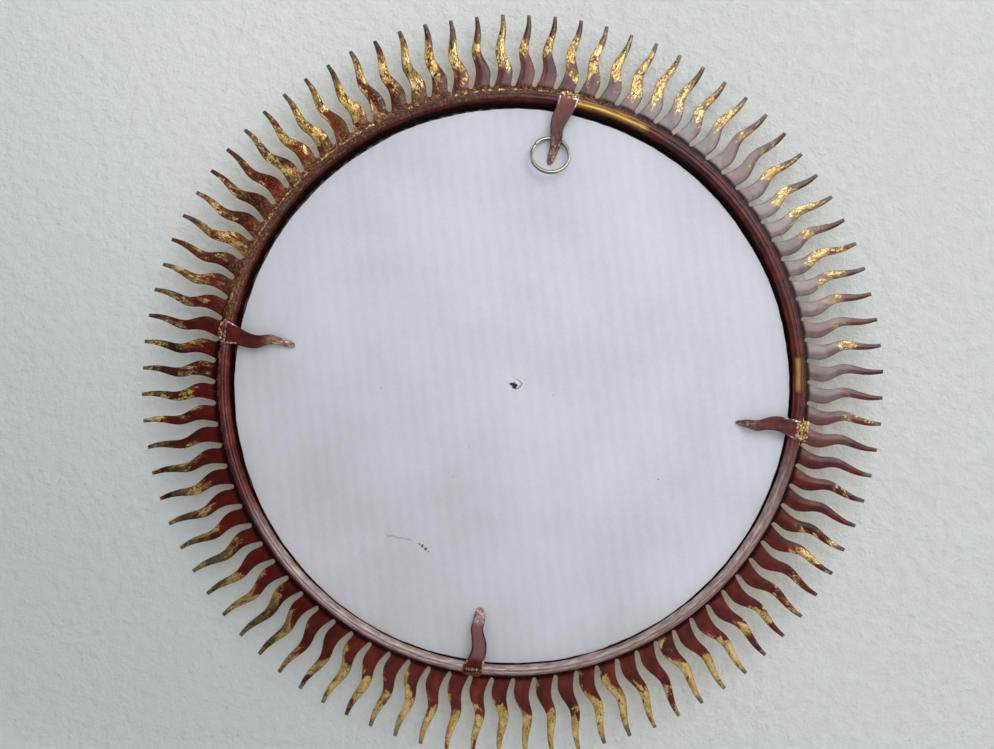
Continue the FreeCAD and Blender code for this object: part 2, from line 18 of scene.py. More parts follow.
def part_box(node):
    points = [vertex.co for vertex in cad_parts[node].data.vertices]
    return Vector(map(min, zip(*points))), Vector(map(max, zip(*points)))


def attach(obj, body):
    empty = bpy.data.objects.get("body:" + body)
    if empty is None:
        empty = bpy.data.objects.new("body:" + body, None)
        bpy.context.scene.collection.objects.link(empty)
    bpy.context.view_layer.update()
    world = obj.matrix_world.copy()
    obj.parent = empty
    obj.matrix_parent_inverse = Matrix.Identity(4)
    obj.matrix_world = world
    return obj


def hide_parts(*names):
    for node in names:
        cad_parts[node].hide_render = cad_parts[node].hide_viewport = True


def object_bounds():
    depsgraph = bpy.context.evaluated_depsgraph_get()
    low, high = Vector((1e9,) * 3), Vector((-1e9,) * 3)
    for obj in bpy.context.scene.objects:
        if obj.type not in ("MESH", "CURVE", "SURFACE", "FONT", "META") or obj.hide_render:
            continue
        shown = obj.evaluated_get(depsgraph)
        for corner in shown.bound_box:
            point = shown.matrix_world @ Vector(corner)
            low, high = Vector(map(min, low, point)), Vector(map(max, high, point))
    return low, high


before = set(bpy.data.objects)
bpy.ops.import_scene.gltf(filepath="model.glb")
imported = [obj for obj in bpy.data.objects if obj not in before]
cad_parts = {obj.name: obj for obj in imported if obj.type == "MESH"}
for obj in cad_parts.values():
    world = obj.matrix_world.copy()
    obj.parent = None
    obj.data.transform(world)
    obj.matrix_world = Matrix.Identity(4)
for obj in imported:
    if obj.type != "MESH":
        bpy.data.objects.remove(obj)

cad_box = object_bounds()
print("CAD box, mm:", [[round(1000 * number, 1) for number in corner] for corner in cad_box])

# %% [markdown]
# ## Sizes read from the frame
#
# The scene doesn't repeat the sizes of the solids: it reads them from their boxes, so that a piece
# modelled here lands where the solid is. A round piece's radius is half its box's width.

# %% Sizes
MM = 0.001


def half_width(node):
    low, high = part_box(node)
    return (high[0] - low[0]) / 2


plate_low, plate_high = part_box("ray_strip_1")
PLATE_FRONT, PLATE_BACK = plate_low[1], plate_high[1]
BEAD_EDGE = half_width("rim_hoop")
BEAD_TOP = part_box("rim_hoop")[1][1]
CARD_RADIUS = half_width("card_back_liner")
CARD_FRONT, CARD_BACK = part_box("card_back_liner")[0][1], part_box("card_back_liner")[1][1]
CARD_MIDDLE = sum(corner[2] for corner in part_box("card_back_liner")) / 2
TIP_RADIUS = 220 * MM
RAY_LENGTH = 44.4 * MM
ROOT_RADIUS = TIP_RADIUS - RAY_LENGTH
BEAD_DIAMETER = 5.2 * MM
BEAD_RIDGE = BEAD_EDGE - BEAD_DIAMETER / 2
HOOP_GAUGE = 0.8 * MM
HOOP_INSIDE = BEAD_EDGE - BEAD_DIAMETER
RAY_COUNT = 88
STRIP_COUNT = 8
print("bead ridge radius, mm:", round(BEAD_RIDGE / MM, 2), "card radius, mm:", round(CARD_RADIUS / MM, 2))

# %% [markdown]
# ## Camera
#
# The photograph looks almost straight at the back from 0.45 m, with the mirror rolled 10 degrees
# clockwise. The camera is placed, aimed and rolled instead of the mirror, which stays in its frame.

# %% Camera
CAMERA_PLACE = Vector((-0.00545, 0.43915, -0.01571))
CAMERA_AIM = Vector((0.00719, -0.0061, 0.00046))
CAMERA_ROLL_DEGREES = 10.055
FOCAL_LENGTH = 27.2
SENSOR_WIDTH = 36

lens = bpy.data.cameras.new("camera")
lens.lens = FOCAL_LENGTH
lens.sensor_width = SENSOR_WIDTH
camera = bpy.data.objects.new("camera", lens)
bpy.context.collection.objects.link(camera)
aiming = (CAMERA_AIM - CAMERA_PLACE).to_track_quat("-Z", "Y").to_matrix().to_4x4()
roll = Matrix.Rotation(radians(CAMERA_ROLL_DEGREES), 4, "Z")
camera.matrix_world = Matrix.Translation(CAMERA_PLACE) @ aiming @ roll
bpy.context.scene.camera = camera
picture_right, picture_up, towards_camera = (camera.matrix_world.to_3x3() @ Vector(axis)
                                             for axis in ((1, 0, 0), (0, 1, 0), (0, 0, 1)))
print("camera stands", round((CAMERA_AIM - CAMERA_PLACE).length, 3), "m away")

# %% [markdown]
# ## Helpers for modelling
#
# Nothing is selected by hand here, so small helpers deselect everything, add a primitive, pick
# points by their place, and apply modifiers, as the mouse would in the window. Rays, tabs, card and
# flaps all start as a grid that stands upright and faces the back.

# %% Modelling helpers
def deselect_all():
    bpy.ops.object.select_all(action="DESELECT")


def make_active(piece):
    deselect_all()
    piece.select_set(True)
    bpy.context.view_layer.objects.active = piece
    return piece


def named(piece, name):
    piece.name = name
    piece.data.name = name
    return piece


def edit(piece, mode="VERT"):
    """Goes into edit mode with nothing selected."""
    make_active(piece)
    bpy.ops.object.mode_set(mode="EDIT")
    bpy.ops.mesh.select_mode(type=mode)
    bpy.ops.mesh.select_all(action="DESELECT")
    return bmesh.from_edit_mesh(piece.data)


def leave_edit(piece):
    bpy.ops.object.mode_set(mode="OBJECT")
    return piece


def pick(mesh, wanted):
    """Selects the points that wanted() accepts, and nothing else."""
    bpy.ops.mesh.select_all(action="DESELECT")
    for vertex in mesh.verts:
        vertex.select_set(wanted(vertex))
    mesh.select_flush_mode()


def modifier(piece, kind, **settings):
    """Adds a modifier, sets it and applies it."""
    make_active(piece)
    added = piece.modifiers.new(kind.lower(), kind)
    for setting, number in settings.items():
        setattr(added, setting, number)
    bpy.ops.object.modifier_apply(modifier=added.name)
    return piece


def subdivide_smoothly(piece, levels=1):
    return modifier(piece, "SUBSURF", levels=levels, render_levels=levels)


def apply_place(piece):
    make_active(piece)
    bpy.ops.object.transform_apply(location=True, rotation=True, scale=True)
    return piece


def join(pieces, name):
    deselect_all()
    for piece in pieces:
        piece.select_set(True)
    bpy.context.view_layer.objects.active = pieces[0]
    bpy.ops.object.join()
    return named(pieces[0], name)


def face_outwards(piece, merge=None):
    """Merges points that lie nearer than merge, and turns every face outwards."""
    edit(piece)
    bpy.ops.mesh.select_all(action="SELECT")
    if merge:
        bpy.ops.mesh.remove_doubles(threshold=merge)
        bpy.ops.mesh.select_all(action="SELECT")
    bpy.ops.mesh.normals_make_consistent(inside=False)
    return leave_edit(piece)


def face_back(piece):
    """Flips a flat sheet whose faces look away from the back."""
    if sum(face.normal.y for face in piece.data.polygons) < 0:
        piece.data.flip_normals()
    return piece


def soften_cuts(piece, width):
    """Bevels the cut edges of a sheet, so that the subdivision leaves them crisp."""
    modifier(piece, "BEVEL", width=width, segments=1, limit_method="ANGLE", angle_limit=radians(50))
    return subdivide_smoothly(piece)


def smooth(piece, angle=40):
    make_active(piece)
    bpy.ops.object.shade_smooth_by_angle(angle=radians(angle))
    return piece


def upright_grid(columns, rows, name):
    """A flat grid of points that faces the back, with its columns along X and its rows along Z."""
    deselect_all()
    bpy.ops.mesh.primitive_grid_add(x_subdivisions=columns - 1, y_subdivisions=rows - 1, size=1,
                                    rotation=(radians(90), 0, 0))
    return named(bpy.context.object, name)


def rows_of(mesh, columns):
    """The points of a grid, row by row from the bottom."""
    ordered = sorted(mesh.verts, key=lambda vertex: vertex.co.z)
    return [ordered[first:first + columns] for first in range(0, len(ordered), columns)]


def place_row(mesh, row, width, sideways, level, radius):
    """Scales one row of a grid to its width and moves it to its place, by transform operators."""
    chosen = set(row)
    pick(mesh, lambda vertex: vertex in chosen)
    height = row[0].co.z
    bpy.ops.transform.resize(value=(width, 1, 1), center_override=(0, 0, 0))
    bpy.ops.transform.translate(value=(sideways, level, radius - height))


def note_across(piece):
    """Writes on each point how far it lies from the middle of its row, -1 to 1, for the finish."""
    rows = {}
    for vertex in piece.data.vertices:
        rows.setdefault(round(vertex.co.z, 6), []).append(vertex)
    across = piece.data.attributes.new("across", "FLOAT", "POINT")
    for row in rows.values():
        low = min(vertex.co.x for vertex in row)
        high = max(vertex.co.x for vertex in row)
        for vertex in row:
            across.data[vertex.index].value = 1 - 2 * (vertex.co.x - low) / (high - low)


def dented(piece, strength, size, name, **more):
    """Dents a piece with a soft noise, by the Displace modifier."""
    noise = bpy.data.textures.new(name, "CLOUDS")
    noise.noise_scale = size
    noise.noise_depth = 1
    return modifier(piece, "DISPLACE", texture=noise, strength=strength, mid_level=0.5,
                    texture_coords="LOCAL", **more)


def outward(clockwise):
    """Unit vector from the axis, at an angle in degrees, clockwise as seen from the back."""
    return Vector((-sin(radians(clockwise)), 0, cos(radians(clockwise))))


def turn_clockwise(piece, clockwise):
    """Turns a finished piece about the disc's axis, and keeps its object unturned."""
    piece.data.transform(Matrix.Rotation(radians(-clockwise), 4, "Y"))
    return piece


# %% [markdown]
# ## Reading a list of shares smoothly
#
# The outline of a ray and of a tab is written as a few shares, as in the part's source. Between
# them the outline has to flow, so the shares are read along a curve through them.

# %% Smooth reading of shares
def smooth_between(places, numbers, place):
    """Reads numbers at a place along a smooth curve through them."""
    if place <= places[0]:
        return numbers[0]
    if place >= places[-1]:
        return numbers[-1]
    last = len(places) - 1
    k = max(index for index in range(last) if places[index] <= place)

    def slope(index):
        before, after = max(index - 1, 0), min(index + 1, last)
        return (numbers[after] - numbers[before]) / (places[after] - places[before])
    span = places[k + 1] - places[k]
    t = (place - places[k]) / span
    start, end = numbers[k], numbers[k + 1]
    return (start * (1 + 2 * t) * (1 - t) ** 2 + slope(k) * span * t * (1 - t) ** 2
            + end * t * t * (3 - 2 * t) + slope(k + 1) * span * t * t * (t - 1))


# %% [markdown]
# ## The rays
#
# The real rays were cut from strips of thin sheet with snips, and slid over the hoop. Each is a
# wavy tongue that narrows to a blunt end, with a rounded gap to the next one. One ray with its bit
# of band is a grid whose rows are placed one by one, so it could be copied round 88 times. The
# snips bent the flank of each ray a little, and its middle stands proud by a hair.

# %% One ray
RAY_PITCH_DEGREES = 360 / RAY_COUNT
ROOT_SPACING = 2 * pi * ROOT_RADIUS / RAY_COUNT
BAND_INSIDE = HOOP_INSIDE + HOOP_GAUGE + 0.2 * MM
# along the ray, middle clockwise, width: shares of the ray's length and of the rays' spacing
RAY_SHARES = [(0.00, -0.040, 1.000), (0.012, -0.040, 0.860), (0.04, -0.040, 0.775),
              (0.18, 0.090, 0.735), (0.30, 0.063, 0.640), (0.45, -0.119, 0.510),
              (0.55, -0.143, 0.440), (0.70, -0.036, 0.360), (0.85, 0.040, 0.265),
              (1.00, 0.016, 0.175)]
RAY_ROWS = [0.0, 0.006, 0.02, 0.045, 0.09, 0.15, 0.21, 0.27, 0.33, 0.39, 0.45, 0.51, 0.57, 0.63,
            0.69, 0.75, 0.81, 0.87, 0.93, 0.985, 1.0]
BAND_ROWS = 3
RAY_COLUMNS = 7
CROWN = 0.30 * MM
# how far each column is lifted, in crowns: the middle stands proud, the clockwise flank is bent down
CROWN_LIFTS = {2: 0.8, 3: 1.0, 4: 0.8, 0: -1.6, 1: -0.3}


def ray_middle_and_width(share):
    along = [row[0] for row in RAY_SHARES]
    middle = smooth_between(along, [row[1] for row in RAY_SHARES], share)
    width = smooth_between(along, [row[2] for row in RAY_SHARES], share)
    return middle * ROOT_SPACING, width * ROOT_SPACING


def master_ray():
    """A flat ray that points up, with the piece of band it grows from, at the plate's level."""
    row_count = BAND_ROWS + len(RAY_ROWS)
    ray = apply_place(upright_grid(RAY_COLUMNS, row_count, "ray"))
    mesh = edit(ray)
    rows = rows_of(mesh, RAY_COLUMNS)
    for number, row in enumerate(rows):
        if number < BAND_ROWS:
            radius = BAND_INSIDE + (ROOT_RADIUS - BAND_INSIDE) * number / BAND_ROWS
            middle, width = 0.0, 2 * pi * radius / RAY_COUNT
        else:
            share = RAY_ROWS[number - BAND_ROWS]
            radius = ROOT_RADIUS + RAY_LENGTH * share
            middle, width = ray_middle_and_width(share)
            if share == 0:
                middle = 0.0
        place_row(mesh, row, width, -middle, 0, radius)
    crown_columns(mesh, rows)
    leave_edit(ray)
    note_across(ray)
    return ray


def crown_columns(mesh, rows):
    """Lifts the middle of a ray by a hair, and bends its clockwise flank down."""
    for column, lift in CROWN_LIFTS.items():
        chosen = {sorted(row, key=lambda vertex: vertex.co.x)[column] for row in rows[BAND_ROWS + 2:-2]}
        pick(mesh, lambda vertex: vertex in chosen)
        bpy.ops.transform.translate(value=(0, CROWN * lift, 0))


ray = master_ray()
print("one ray has", len(ray.data.polygons), "faces")

# %% [markdown]
# ## Eight strips of eleven rays
#
# A strip is eleven copies of the ray, each turned to its own angle and bent a little, as
# tongues of thin sheet are. The copies share their edges once doubles are merged. Solidify gives
# the sheet its gauge, and a subdivision rounds the cuts.

# %% Ray strips
RAY_OFFSET_DEGREES = 0.45
RAY_DRIFT_DEGREES = 1.2
RAY_DRIFT_PEAK_DEGREES = 35
BEND_SHARES = (0.25, 0.6)
BEND_DEGREES = 1.3
RAY_MERGE = 0.25 * MM
RAY_CUT = 0.18 * MM
SHEET_GAUGE = PLATE_BACK - PLATE_FRONT
hand = random.Random(88)


def ray_degrees(number):
    even = number * RAY_PITCH_DEGREES
    drift = RAY_DRIFT_DEGREES * cos(radians(even - RAY_DRIFT_PEAK_DEGREES))
    return even + RAY_OFFSET_DEGREES + drift


def bend_ray(copy):
    """Bends a ray out of the plate at two places, as handling does."""
    mesh = edit(copy)
    for share in BEND_SHARES:
        height = ROOT_RADIUS + RAY_LENGTH * share
        pick(mesh, lambda vertex: vertex.co.z > height)
        bpy.ops.transform.rotate(value=radians(hand.uniform(-BEND_DEGREES, BEND_DEGREES)), orient_axis="X",
                                 center_override=(0, 0, height))
    return leave_edit(copy)


def ray_strip(first_ray, name):
    copies = []
    for number in range(first_ray, first_ray + RAY_COUNT // STRIP_COUNT):
        copy = ray.copy()
        copy.data = ray.data.copy()
        bpy.context.collection.objects.link(copy)
        bend_ray(copy)
        chance = copy.data.attributes.new("chance", "FLOAT", "POINT")
        luck = hand.random()
        for value in chance.data:
            value.value = luck
        copies.append(turn_clockwise(copy, ray_degrees(number)))
    strip = face_back(face_outwards(join(copies, name), RAY_MERGE))
    strip.data.transform(Matrix.Translation((0, PLATE_BACK - CROWN, 0)))
    modifier(strip, "SOLIDIFY", thickness=SHEET_GAUGE, offset=-1)
    return smooth(soften_cuts(strip, RAY_CUT), 50)


ray_strips = []
for number in range(1, STRIP_COUNT + 1):
    node = f"ray_strip_{number}"
    strip = ray_strip(11 * number - 5, f"rays_{number}")
    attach(strip, "mirror_frame")
    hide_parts(node)
    ray_strips.append(strip)
bpy.data.objects.remove(ray)
print("triangles in a strip:", sum(len(face.vertices) - 2 for face in ray_strips[0].data.polygons))

# %% [markdown]
# ## The rolled hoop
#
# The hoop is a deep band of tin whose back edge is rolled outwards over a wire. The roll isn't a
# clean round: the sheet sits on the wire in two soft lobes with a crease between them, and it's a
# little wider at the upper right. The section is drawn once with its corners and spun about the
# disc's axis. Then its points are pushed in where the roll is wider, and a low noise dents it.

# %% Rim hoop
RIM_STEPS = 180
RIM_SHIFT = Vector((-0.9 * MM, 0, -0.4 * MM))
ROLL_WIDENING = 0.25
# how far right and how far up the roll is widest
WIDEST = (0.82, 0.57)
SPUN_MERGE = 0.01 * MM
# how deep the dents are, and how large
RIM_DENT = (0.7 * MM, 18 * MM)
# radius from the inside of the hoop, and level below the top of the bead, in mm
RIM_SECTION = [(0.0, 13.7), (0.0, 8.0), (0.0, 4.2), (0.02, 2.6), (0.35, 1.25), (1.05, 0.35),
               (1.75, 0.12), (2.35, 0.30), (2.62, 0.62), (2.95, 0.30), (3.65, 0.05), (4.45, 0.50),
               (5.05, 1.45), (5.2, 2.6), (4.9, 3.7), (4.1, 4.6), (2.9, 5.0), (1.6, 4.9), (0.9, 5.3),
               (0.8, 8.0), (0.8, 13.7)]


def spun(section, name, steps):
    """A closed section in the YZ plane, spun about the disc's axis."""
    deselect_all()
    bpy.ops.mesh.primitive_circle_add(vertices=len(section), radius=1, fill_type="NOTHING")
    piece = named(bpy.context.object, name)
    mesh = edit(piece)
    mesh.verts.ensure_lookup_table()
    for vertex, (radius, level) in zip(mesh.verts, section):
        vertex.co = (0, level, radius)
    bmesh.update_edit_mesh(piece.data)
    bpy.ops.mesh.select_all(action="SELECT")
    bpy.ops.mesh.spin(steps=steps, angle=2 * pi, center=(0, 0, 0), axis=(0, 1, 0))
    return face_outwards(leave_edit(piece), SPUN_MERGE)


def picture_direction(place):
    """How far right and how far up a point lies on the disc, as the photograph sees it."""
    flat = Vector((place.x, 0, place.z)).normalized()
    return flat.dot(picture_right), flat.dot(picture_up)


rim = spun([(HOOP_INSIDE + out * MM, BEAD_TOP - down * MM) for out, down in RIM_SECTION],
           "rolled_rim", RIM_STEPS)
subdivide_smoothly(rim)
for vertex in rim.data.vertices:
    right, up = picture_direction(vertex.co)
    towards = min(max(0.35 + 0.85 * (WIDEST[0] * right + WIDEST[1] * up), 0), 1)
    out = hypot(vertex.co.x, vertex.co.z)
    wider = (BEAD_EDGE - out) * ROLL_WIDENING * towards
    vertex.co.x *= (out - wider) / out
    vertex.co.z *= (out - wider) / out
dented(rim, *RIM_DENT, "rim_dents")
rim.data.transform(Matrix.Translation(RIM_SHIFT))
smooth(rim, 60)
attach(rim, "mirror_frame")
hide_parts("rim_hoop")
print("rim faces:", len(rim.data.polygons))

# %% [markdown]
# ## The seam of solder dust
#
# Where the strips meet the bead, the joint was run with solder and the gilder's dust stuck to it.
# A thin ring in the corner, roughened by two noises, gives that seam its crumbs.

# %% Seam
SEAM_WIDE = 1.5 * MM
SEAM_HIGH = 0.55 * MM
SEAM_STEPS = 2600
SEAM_SIDES = 10
SEAM_CRUMBS = (2.2 * MM, 1.3 * MM)
SEAM_RUNS = (1.6 * MM, 7 * MM)


def crumb_share(place):
    """Crumbs are thick at the upper left and the top, and thin elsewhere."""
    right, up = picture_direction(place)
    return 0.12 + 0.88 * min(max((0.8 * up - 0.55 * right + 0.05) / 0.6, 0), 1)


seam_section = [(cos(2 * pi * k / SEAM_SIDES), sin(2 * pi * k / SEAM_SIDES)) for k in range(SEAM_SIDES)]
seam = spun([(BEAD_EDGE + 0.5 * MM + SEAM_WIDE * across, PLATE_BACK - 0.05 * MM + SEAM_HIGH * up)
             for across, up in seam_section], "solder_seam", SEAM_STEPS)
where = seam.vertex_groups.new(name="crumbs")
for vertex in seam.data.vertices:
    where.add([vertex.index], crumb_share(vertex.co), "REPLACE")
dented(seam, *SEAM_CRUMBS, "seam_crumbs", vertex_group="crumbs")
dented(seam, *SEAM_RUNS, "seam_runs", vertex_group="crumbs")
seam.data.transform(Matrix.Translation(RIM_SHIFT / 2))
smooth(seam, 50)
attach(seam, "mirror_frame")
print("seam faces:", len(seam.data.polygons))

# %% [markdown]
# ## The four tabs
#
# A tab is a tongue of the same sheet, soldered beside the rim, bent over the bead and pressed down
# on the card. Its outline waves like a ray's. A grid is laid along the bent path row by row: each
# row gets its width, its wave and its level.

# %% Tabs
TAB_GAUGE = 0.9 * MM
TAB_LENGTH = 37.0 * MM
TAB_ROOT_WIDTH = 12.5 * MM
TAB_KNEE = 1.9 * MM
RING_SETBACK = 24.4 * MM
TAB_ANGLES = {"top": 2.2, "right": 90.5, "bottom": 177.1, "left": 269.1}
TAB_LENGTH_SHARES = {"top": 1.08, "right": 0.92, "bottom": 0.91, "left": 1.09}
TAB_WAVE_SHARES = {
    "top": (0.0, 0.064, 0.228, 0.268, 0.168, 0.216, 0.272),
    "right": (0.0, 0.088, 0.160, 0.072, -0.112, -0.096, -0.132),
    "bottom": (0.0, 0.120, 0.204, 0.136, -0.016, 0.045, 0.020),
    "left": (0.0, 0.084, 0.228, 0.224, 0.016, 0.056, 0.120),
}
TAB_WIDTH_SHARES = {
    "top": (0.95, 0.90, 0.78, 0.62, 0.54, 0.39, 0.26),
    "right": (0.90, 0.78, 0.69, 0.61, 0.51, 0.37, 0.14),
    "bottom": (1.02, 0.80, 0.70, 0.67, 0.58, 0.54, 0.30),
    "left": (1.08, 0.86, 0.71, 0.62, 0.47, 0.32, 0.32),
}
TAB_ROWS = 26
TAB_COLUMNS = 7
TAB_CUT = 0.15 * MM
TAB_DENT = (0.25 * MM, 6 * MM)
BLUNT_TIP = 0.6
PIVOT_RADIUS = BEAD_RIDGE - RING_SETBACK
PIVOT_ROOM = 4.84 * MM


def tab_path(length):
    """Places (radius, level) along the middle of a tab's sheet, from its foot to its tip."""
    half = TAB_GAUGE / 2
    foot = BEAD_EDGE + 0.05 * MM + half
    knee = BEAD_RIDGE - TAB_KNEE
    tip = BEAD_RIDGE - length
    corners = [(foot, PLATE_BACK + 0.1 * MM), (foot - 0.1 * MM, -half - 2.6 * MM),
               (foot - 1.6 * MM, -half - 0.55 * MM), (BEAD_RIDGE + 0.4 * MM, -half),
               (knee, -half - 0.1 * MM), (knee - 5 * MM, -half - 0.45 * MM),
               (PIVOT_RADIUS + 2 * MM, CARD_BACK + PIVOT_ROOM + half),
               (PIVOT_RADIUS - 3 * MM, CARD_BACK + 0.78 * PIVOT_ROOM + half),
               (tip + 1.5 * MM, CARD_BACK + 0.4 * MM + half), (tip, CARD_BACK + 0.06 * MM + half)]
    reach = [0.0]
    for (r0, y0), (r1, y1) in zip(corners, corners[1:]):
        reach.append(reach[-1] + hypot(r1 - r0, y1 - y0))
    whole = reach[-1]

    def at(share):
        place = share * whole
        return (smooth_between(reach, [corner[0] for corner in corners], place),
                smooth_between(reach, [corner[1] for corner in corners], place))
    return at


def tab(label):
    length = TAB_LENGTH * TAB_LENGTH_SHARES[label]
    at = tab_path(length)
    piece = apply_place(upright_grid(TAB_COLUMNS, TAB_ROWS, f"tab_{label}"))
    mesh = edit(piece)
    sixths = [k / 6 for k in range(7)]
    for number, row in enumerate(rows_of(mesh, TAB_COLUMNS)):
        radius, level = at(number / (TAB_ROWS - 1))
        along = min(max((BEAD_RIDGE - radius) / length, 0), 1)
        width = TAB_ROOT_WIDTH * smooth_between(sixths, TAB_WIDTH_SHARES[label], along)
        wave = TAB_ROOT_WIDTH * smooth_between(sixths, TAB_WAVE_SHARES[label], along)
        if number == TAB_ROWS - 1:
            width *= BLUNT_TIP
        place_row(mesh, row, width, wave, level, radius)
    note_across(leave_edit(piece))
    face_back(face_outwards(piece))
    modifier(piece, "SOLIDIFY", thickness=TAB_GAUGE, offset=0)
    soften_cuts(piece, TAB_CUT)
    dented(piece, *TAB_DENT, f"tab_{label}_dents")
    turn_clockwise(piece, TAB_ANGLES[label])
    smooth(piece, 50)
    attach(piece, "mirror_frame")
    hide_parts(f"retaining_tab_{label}")
    return piece


tabs = {label: tab(label) for label in TAB_ANGLES}
print("tabs:", sorted(tabs))

# %% [markdown]
# ## Solder at the feet of the tabs
#
# Each foot is buried in a rough bar of solder. Many small balls, squashed together along the bar
# and remeshed into one lump, crumble like the real thing once a fine noise has roughened them.

# %% Solder lumps
BALLS_IN_A_LUMP = 90
SOLDER_VOXEL = 0.28 * MM
SOLDER_GRAIN = (1.1 * MM, 0.9 * MM)
# radius, squash and heights of the balls, and the half width and end of a foot on the bend, in mm
BALL_RADII = (0.4, 1.0)
BALL_SQUASH = (0.7, 1.3)
BEND_HEIGHT = 4.9
PLATE_HEIGHT = 0.2
PLATE_HEAP = 2.4
FOOT_HALF_WIDTH = 5.0
FOOT_END = 1.2
# how far in over the bend, how far out on the plate and how far to each side the solder lies, in mm
SOLDER_REACH = {"top": (-2.6, 2.6, 8.5), "right": (-1.6, 5.6, 7.6),
                "bottom": (0.2, 1.8, 6.5), "left": (-0.6, 3.2, 7.0)}


def solder_lump(label, seed):
    luck = random.Random(seed)
    inward, outermost, side = SOLDER_REACH[label]
    balls = []
    for count in range(BALLS_IN_A_LUMP):
        deselect_all()
        size = luck.uniform(*BALL_RADII) * MM
        along = luck.uniform(-1, 1)
        out = luck.uniform(0, 1) ** 1.3
        place_out = inward + (outermost - inward) * out
        on_bend = BEND_HEIGHT - 0.10 * max(place_out + 1.0, 0) ** 2
        height = PLATE_HEIGHT + PLATE_HEAP * luck.random() * (1 - out)
        if abs(along) * side < FOOT_HALF_WIDTH and place_out < FOOT_END:
            height = on_bend
        place = (along * side * MM * (1 - 0.25 * out), PLATE_BACK + height * MM,
                 BEAD_EDGE + place_out * MM)
        bpy.ops.mesh.primitive_ico_sphere_add(subdivisions=2, radius=size, location=place)
        ball = bpy.context.object
        ball.scale = [luck.uniform(*BALL_SQUASH) for axis in range(3)]
        balls.append(apply_place(ball))
    lump = join(balls, f"solder_{label}")
    modifier(lump, "REMESH", mode="VOXEL", voxel_size=SOLDER_VOXEL)
    dented(lump, *SOLDER_GRAIN, f"solder_{label}_grain")
    for vertex in lump.data.vertices:
        vertex.co.y = min(vertex.co.y, -0.06 * MM)
    turn_clockwise(lump, TAB_ANGLES[label])
    return lump


solder = join([solder_lump(label, seed) for seed, label in enumerate(TAB_ANGLES, start=7)],
              "solder_crumbs")
smooth(solder, 60)
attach(solder, "mirror_frame")
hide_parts("tab_solder")
print("solder faces:", len(solder.data.polygons), "top, mm:",
      round(max(vertex.co.y for vertex in solder.data.vertices) / MM, 2))

# %% [markdown]
# ## The card
#
# The back is closed with corrugated board whose white face shows every wave as a faint stripe.
# A grid is laid along the waves, and every fourth column sinks a little where the paper is glued
# to the fluting. A rough disc then cuts its edge and a torn star opens the hole near its middle.

# %% Card face
FLUTE_PITCH = 7.7 * MM
FLUTE_LEAN_DEGREES = 16.7
STRIPE_DEPTH = 0.03 * MM
CARD_SHIFT = Vector((-1.0 * MM, 0, -0.4 * MM))
HOLE_PLACE = Vector((-3.7 * MM, 0, -4.1 * MM))
CUT_DEPTH = 3 * MM
EDGE_STEPS = 420
EDGE_TUCK = 0.35 * MM
EDGE_WANDER = 0.16
# the torn hole's outline about its middle, right and up as seen from the back, in mm
TEAR = [(-3.0, 1.0), (-0.9, 1.7), (-0.2, 1.4), (0.6, 2.6), (0.5, 1.2), (2.2, 0.5), (2.3, -0.3),
        (1.5, -1.1), (2.0, -2.3), (0.4, -2.0), (-1.2, -1.8), (-0.8, -0.7), (-1.9, 0.1)]


def on_card(right, up, start=Vector()):
    """The point of the card that lies right and up of a start, in mm, as the photograph sees it."""
    place = start + (right * picture_right + up * picture_up) * MM
    return Vector((place.x, CARD_BACK, place.z))


def cutter(name, outline):
    """A prism through the card with the given outline, a list of (x, z)."""
    deselect_all()
    bpy.ops.mesh.primitive_circle_add(vertices=len(outline), radius=1, fill_type="NGON")
    piece = named(bpy.context.object, name)
    for vertex, (x, z) in zip(piece.data.vertices, outline):
        vertex.co = (x, CARD_BACK - CUT_DEPTH, z)
    edit(piece)
    bpy.ops.mesh.select_all(action="SELECT")
    bpy.ops.mesh.extrude_region_move(TRANSFORM_OT_translate={"value": (0, 2 * CUT_DEPTH, 0)})
    return face_outwards(leave_edit(piece))


def card_sheet():
    columns = 8 * int(CARD_RADIUS / FLUTE_PITCH + 2)
    step = FLUTE_PITCH / 4
    wide = columns * step
    piece = upright_grid(columns + 1, 45, "card_face")
    piece.scale = (wide, wide, 1)
    mesh = edit(apply_place(piece))
    pick(mesh, lambda vertex: round((vertex.co.x + wide / 2) / step) % 4 == 0)
    bpy.ops.transform.translate(value=(0, -STRIPE_DEPTH, 0))
    face_back(leave_edit(piece))
    turn_clockwise(piece, FLUTE_LEAN_DEGREES)
    piece.data.transform(Matrix.Translation(CARD_SHIFT + Vector((0, CARD_BACK, 0))))
    return modifier(piece, "SOLIDIFY", thickness=CARD_BACK - CARD_FRONT, offset=-1)


ragged = random.Random(5)
card = card_sheet()
edge = []
wander = 0.0
for k in range(EDGE_STEPS):
    wander = 0.8 * wander + ragged.uniform(-EDGE_WANDER, EDGE_WANDER)
    radius = CARD_RADIUS - EDGE_TUCK + wander * MM
    edge.append((CARD_SHIFT.x + radius * sin(2 * pi * k / EDGE_STEPS),
                 CARD_SHIFT.z + CARD_MIDDLE + radius * cos(2 * pi * k / EDGE_STEPS)))
tear = [on_card(right, up, HOLE_PLACE) for right, up in TEAR]
cuts = {"INTERSECT": cutter("card_disc", edge),
        "DIFFERENCE": cutter("card_hole", [(point.x, point.z) for point in tear])}
for operation, tool in cuts.items():
    modifier(card, "BOOLEAN", operation=operation, object=tool, solver="EXACT")
    bpy.data.objects.remove(tool)
print("card faces:", len(card.data.polygons))

# %% [markdown]
# ## Torn flaps round the hole
#
# A nail was pushed through the card and tore small flaps of paper. Each is a little triangle that
# is hinged at the hole's edge and bent up or down.

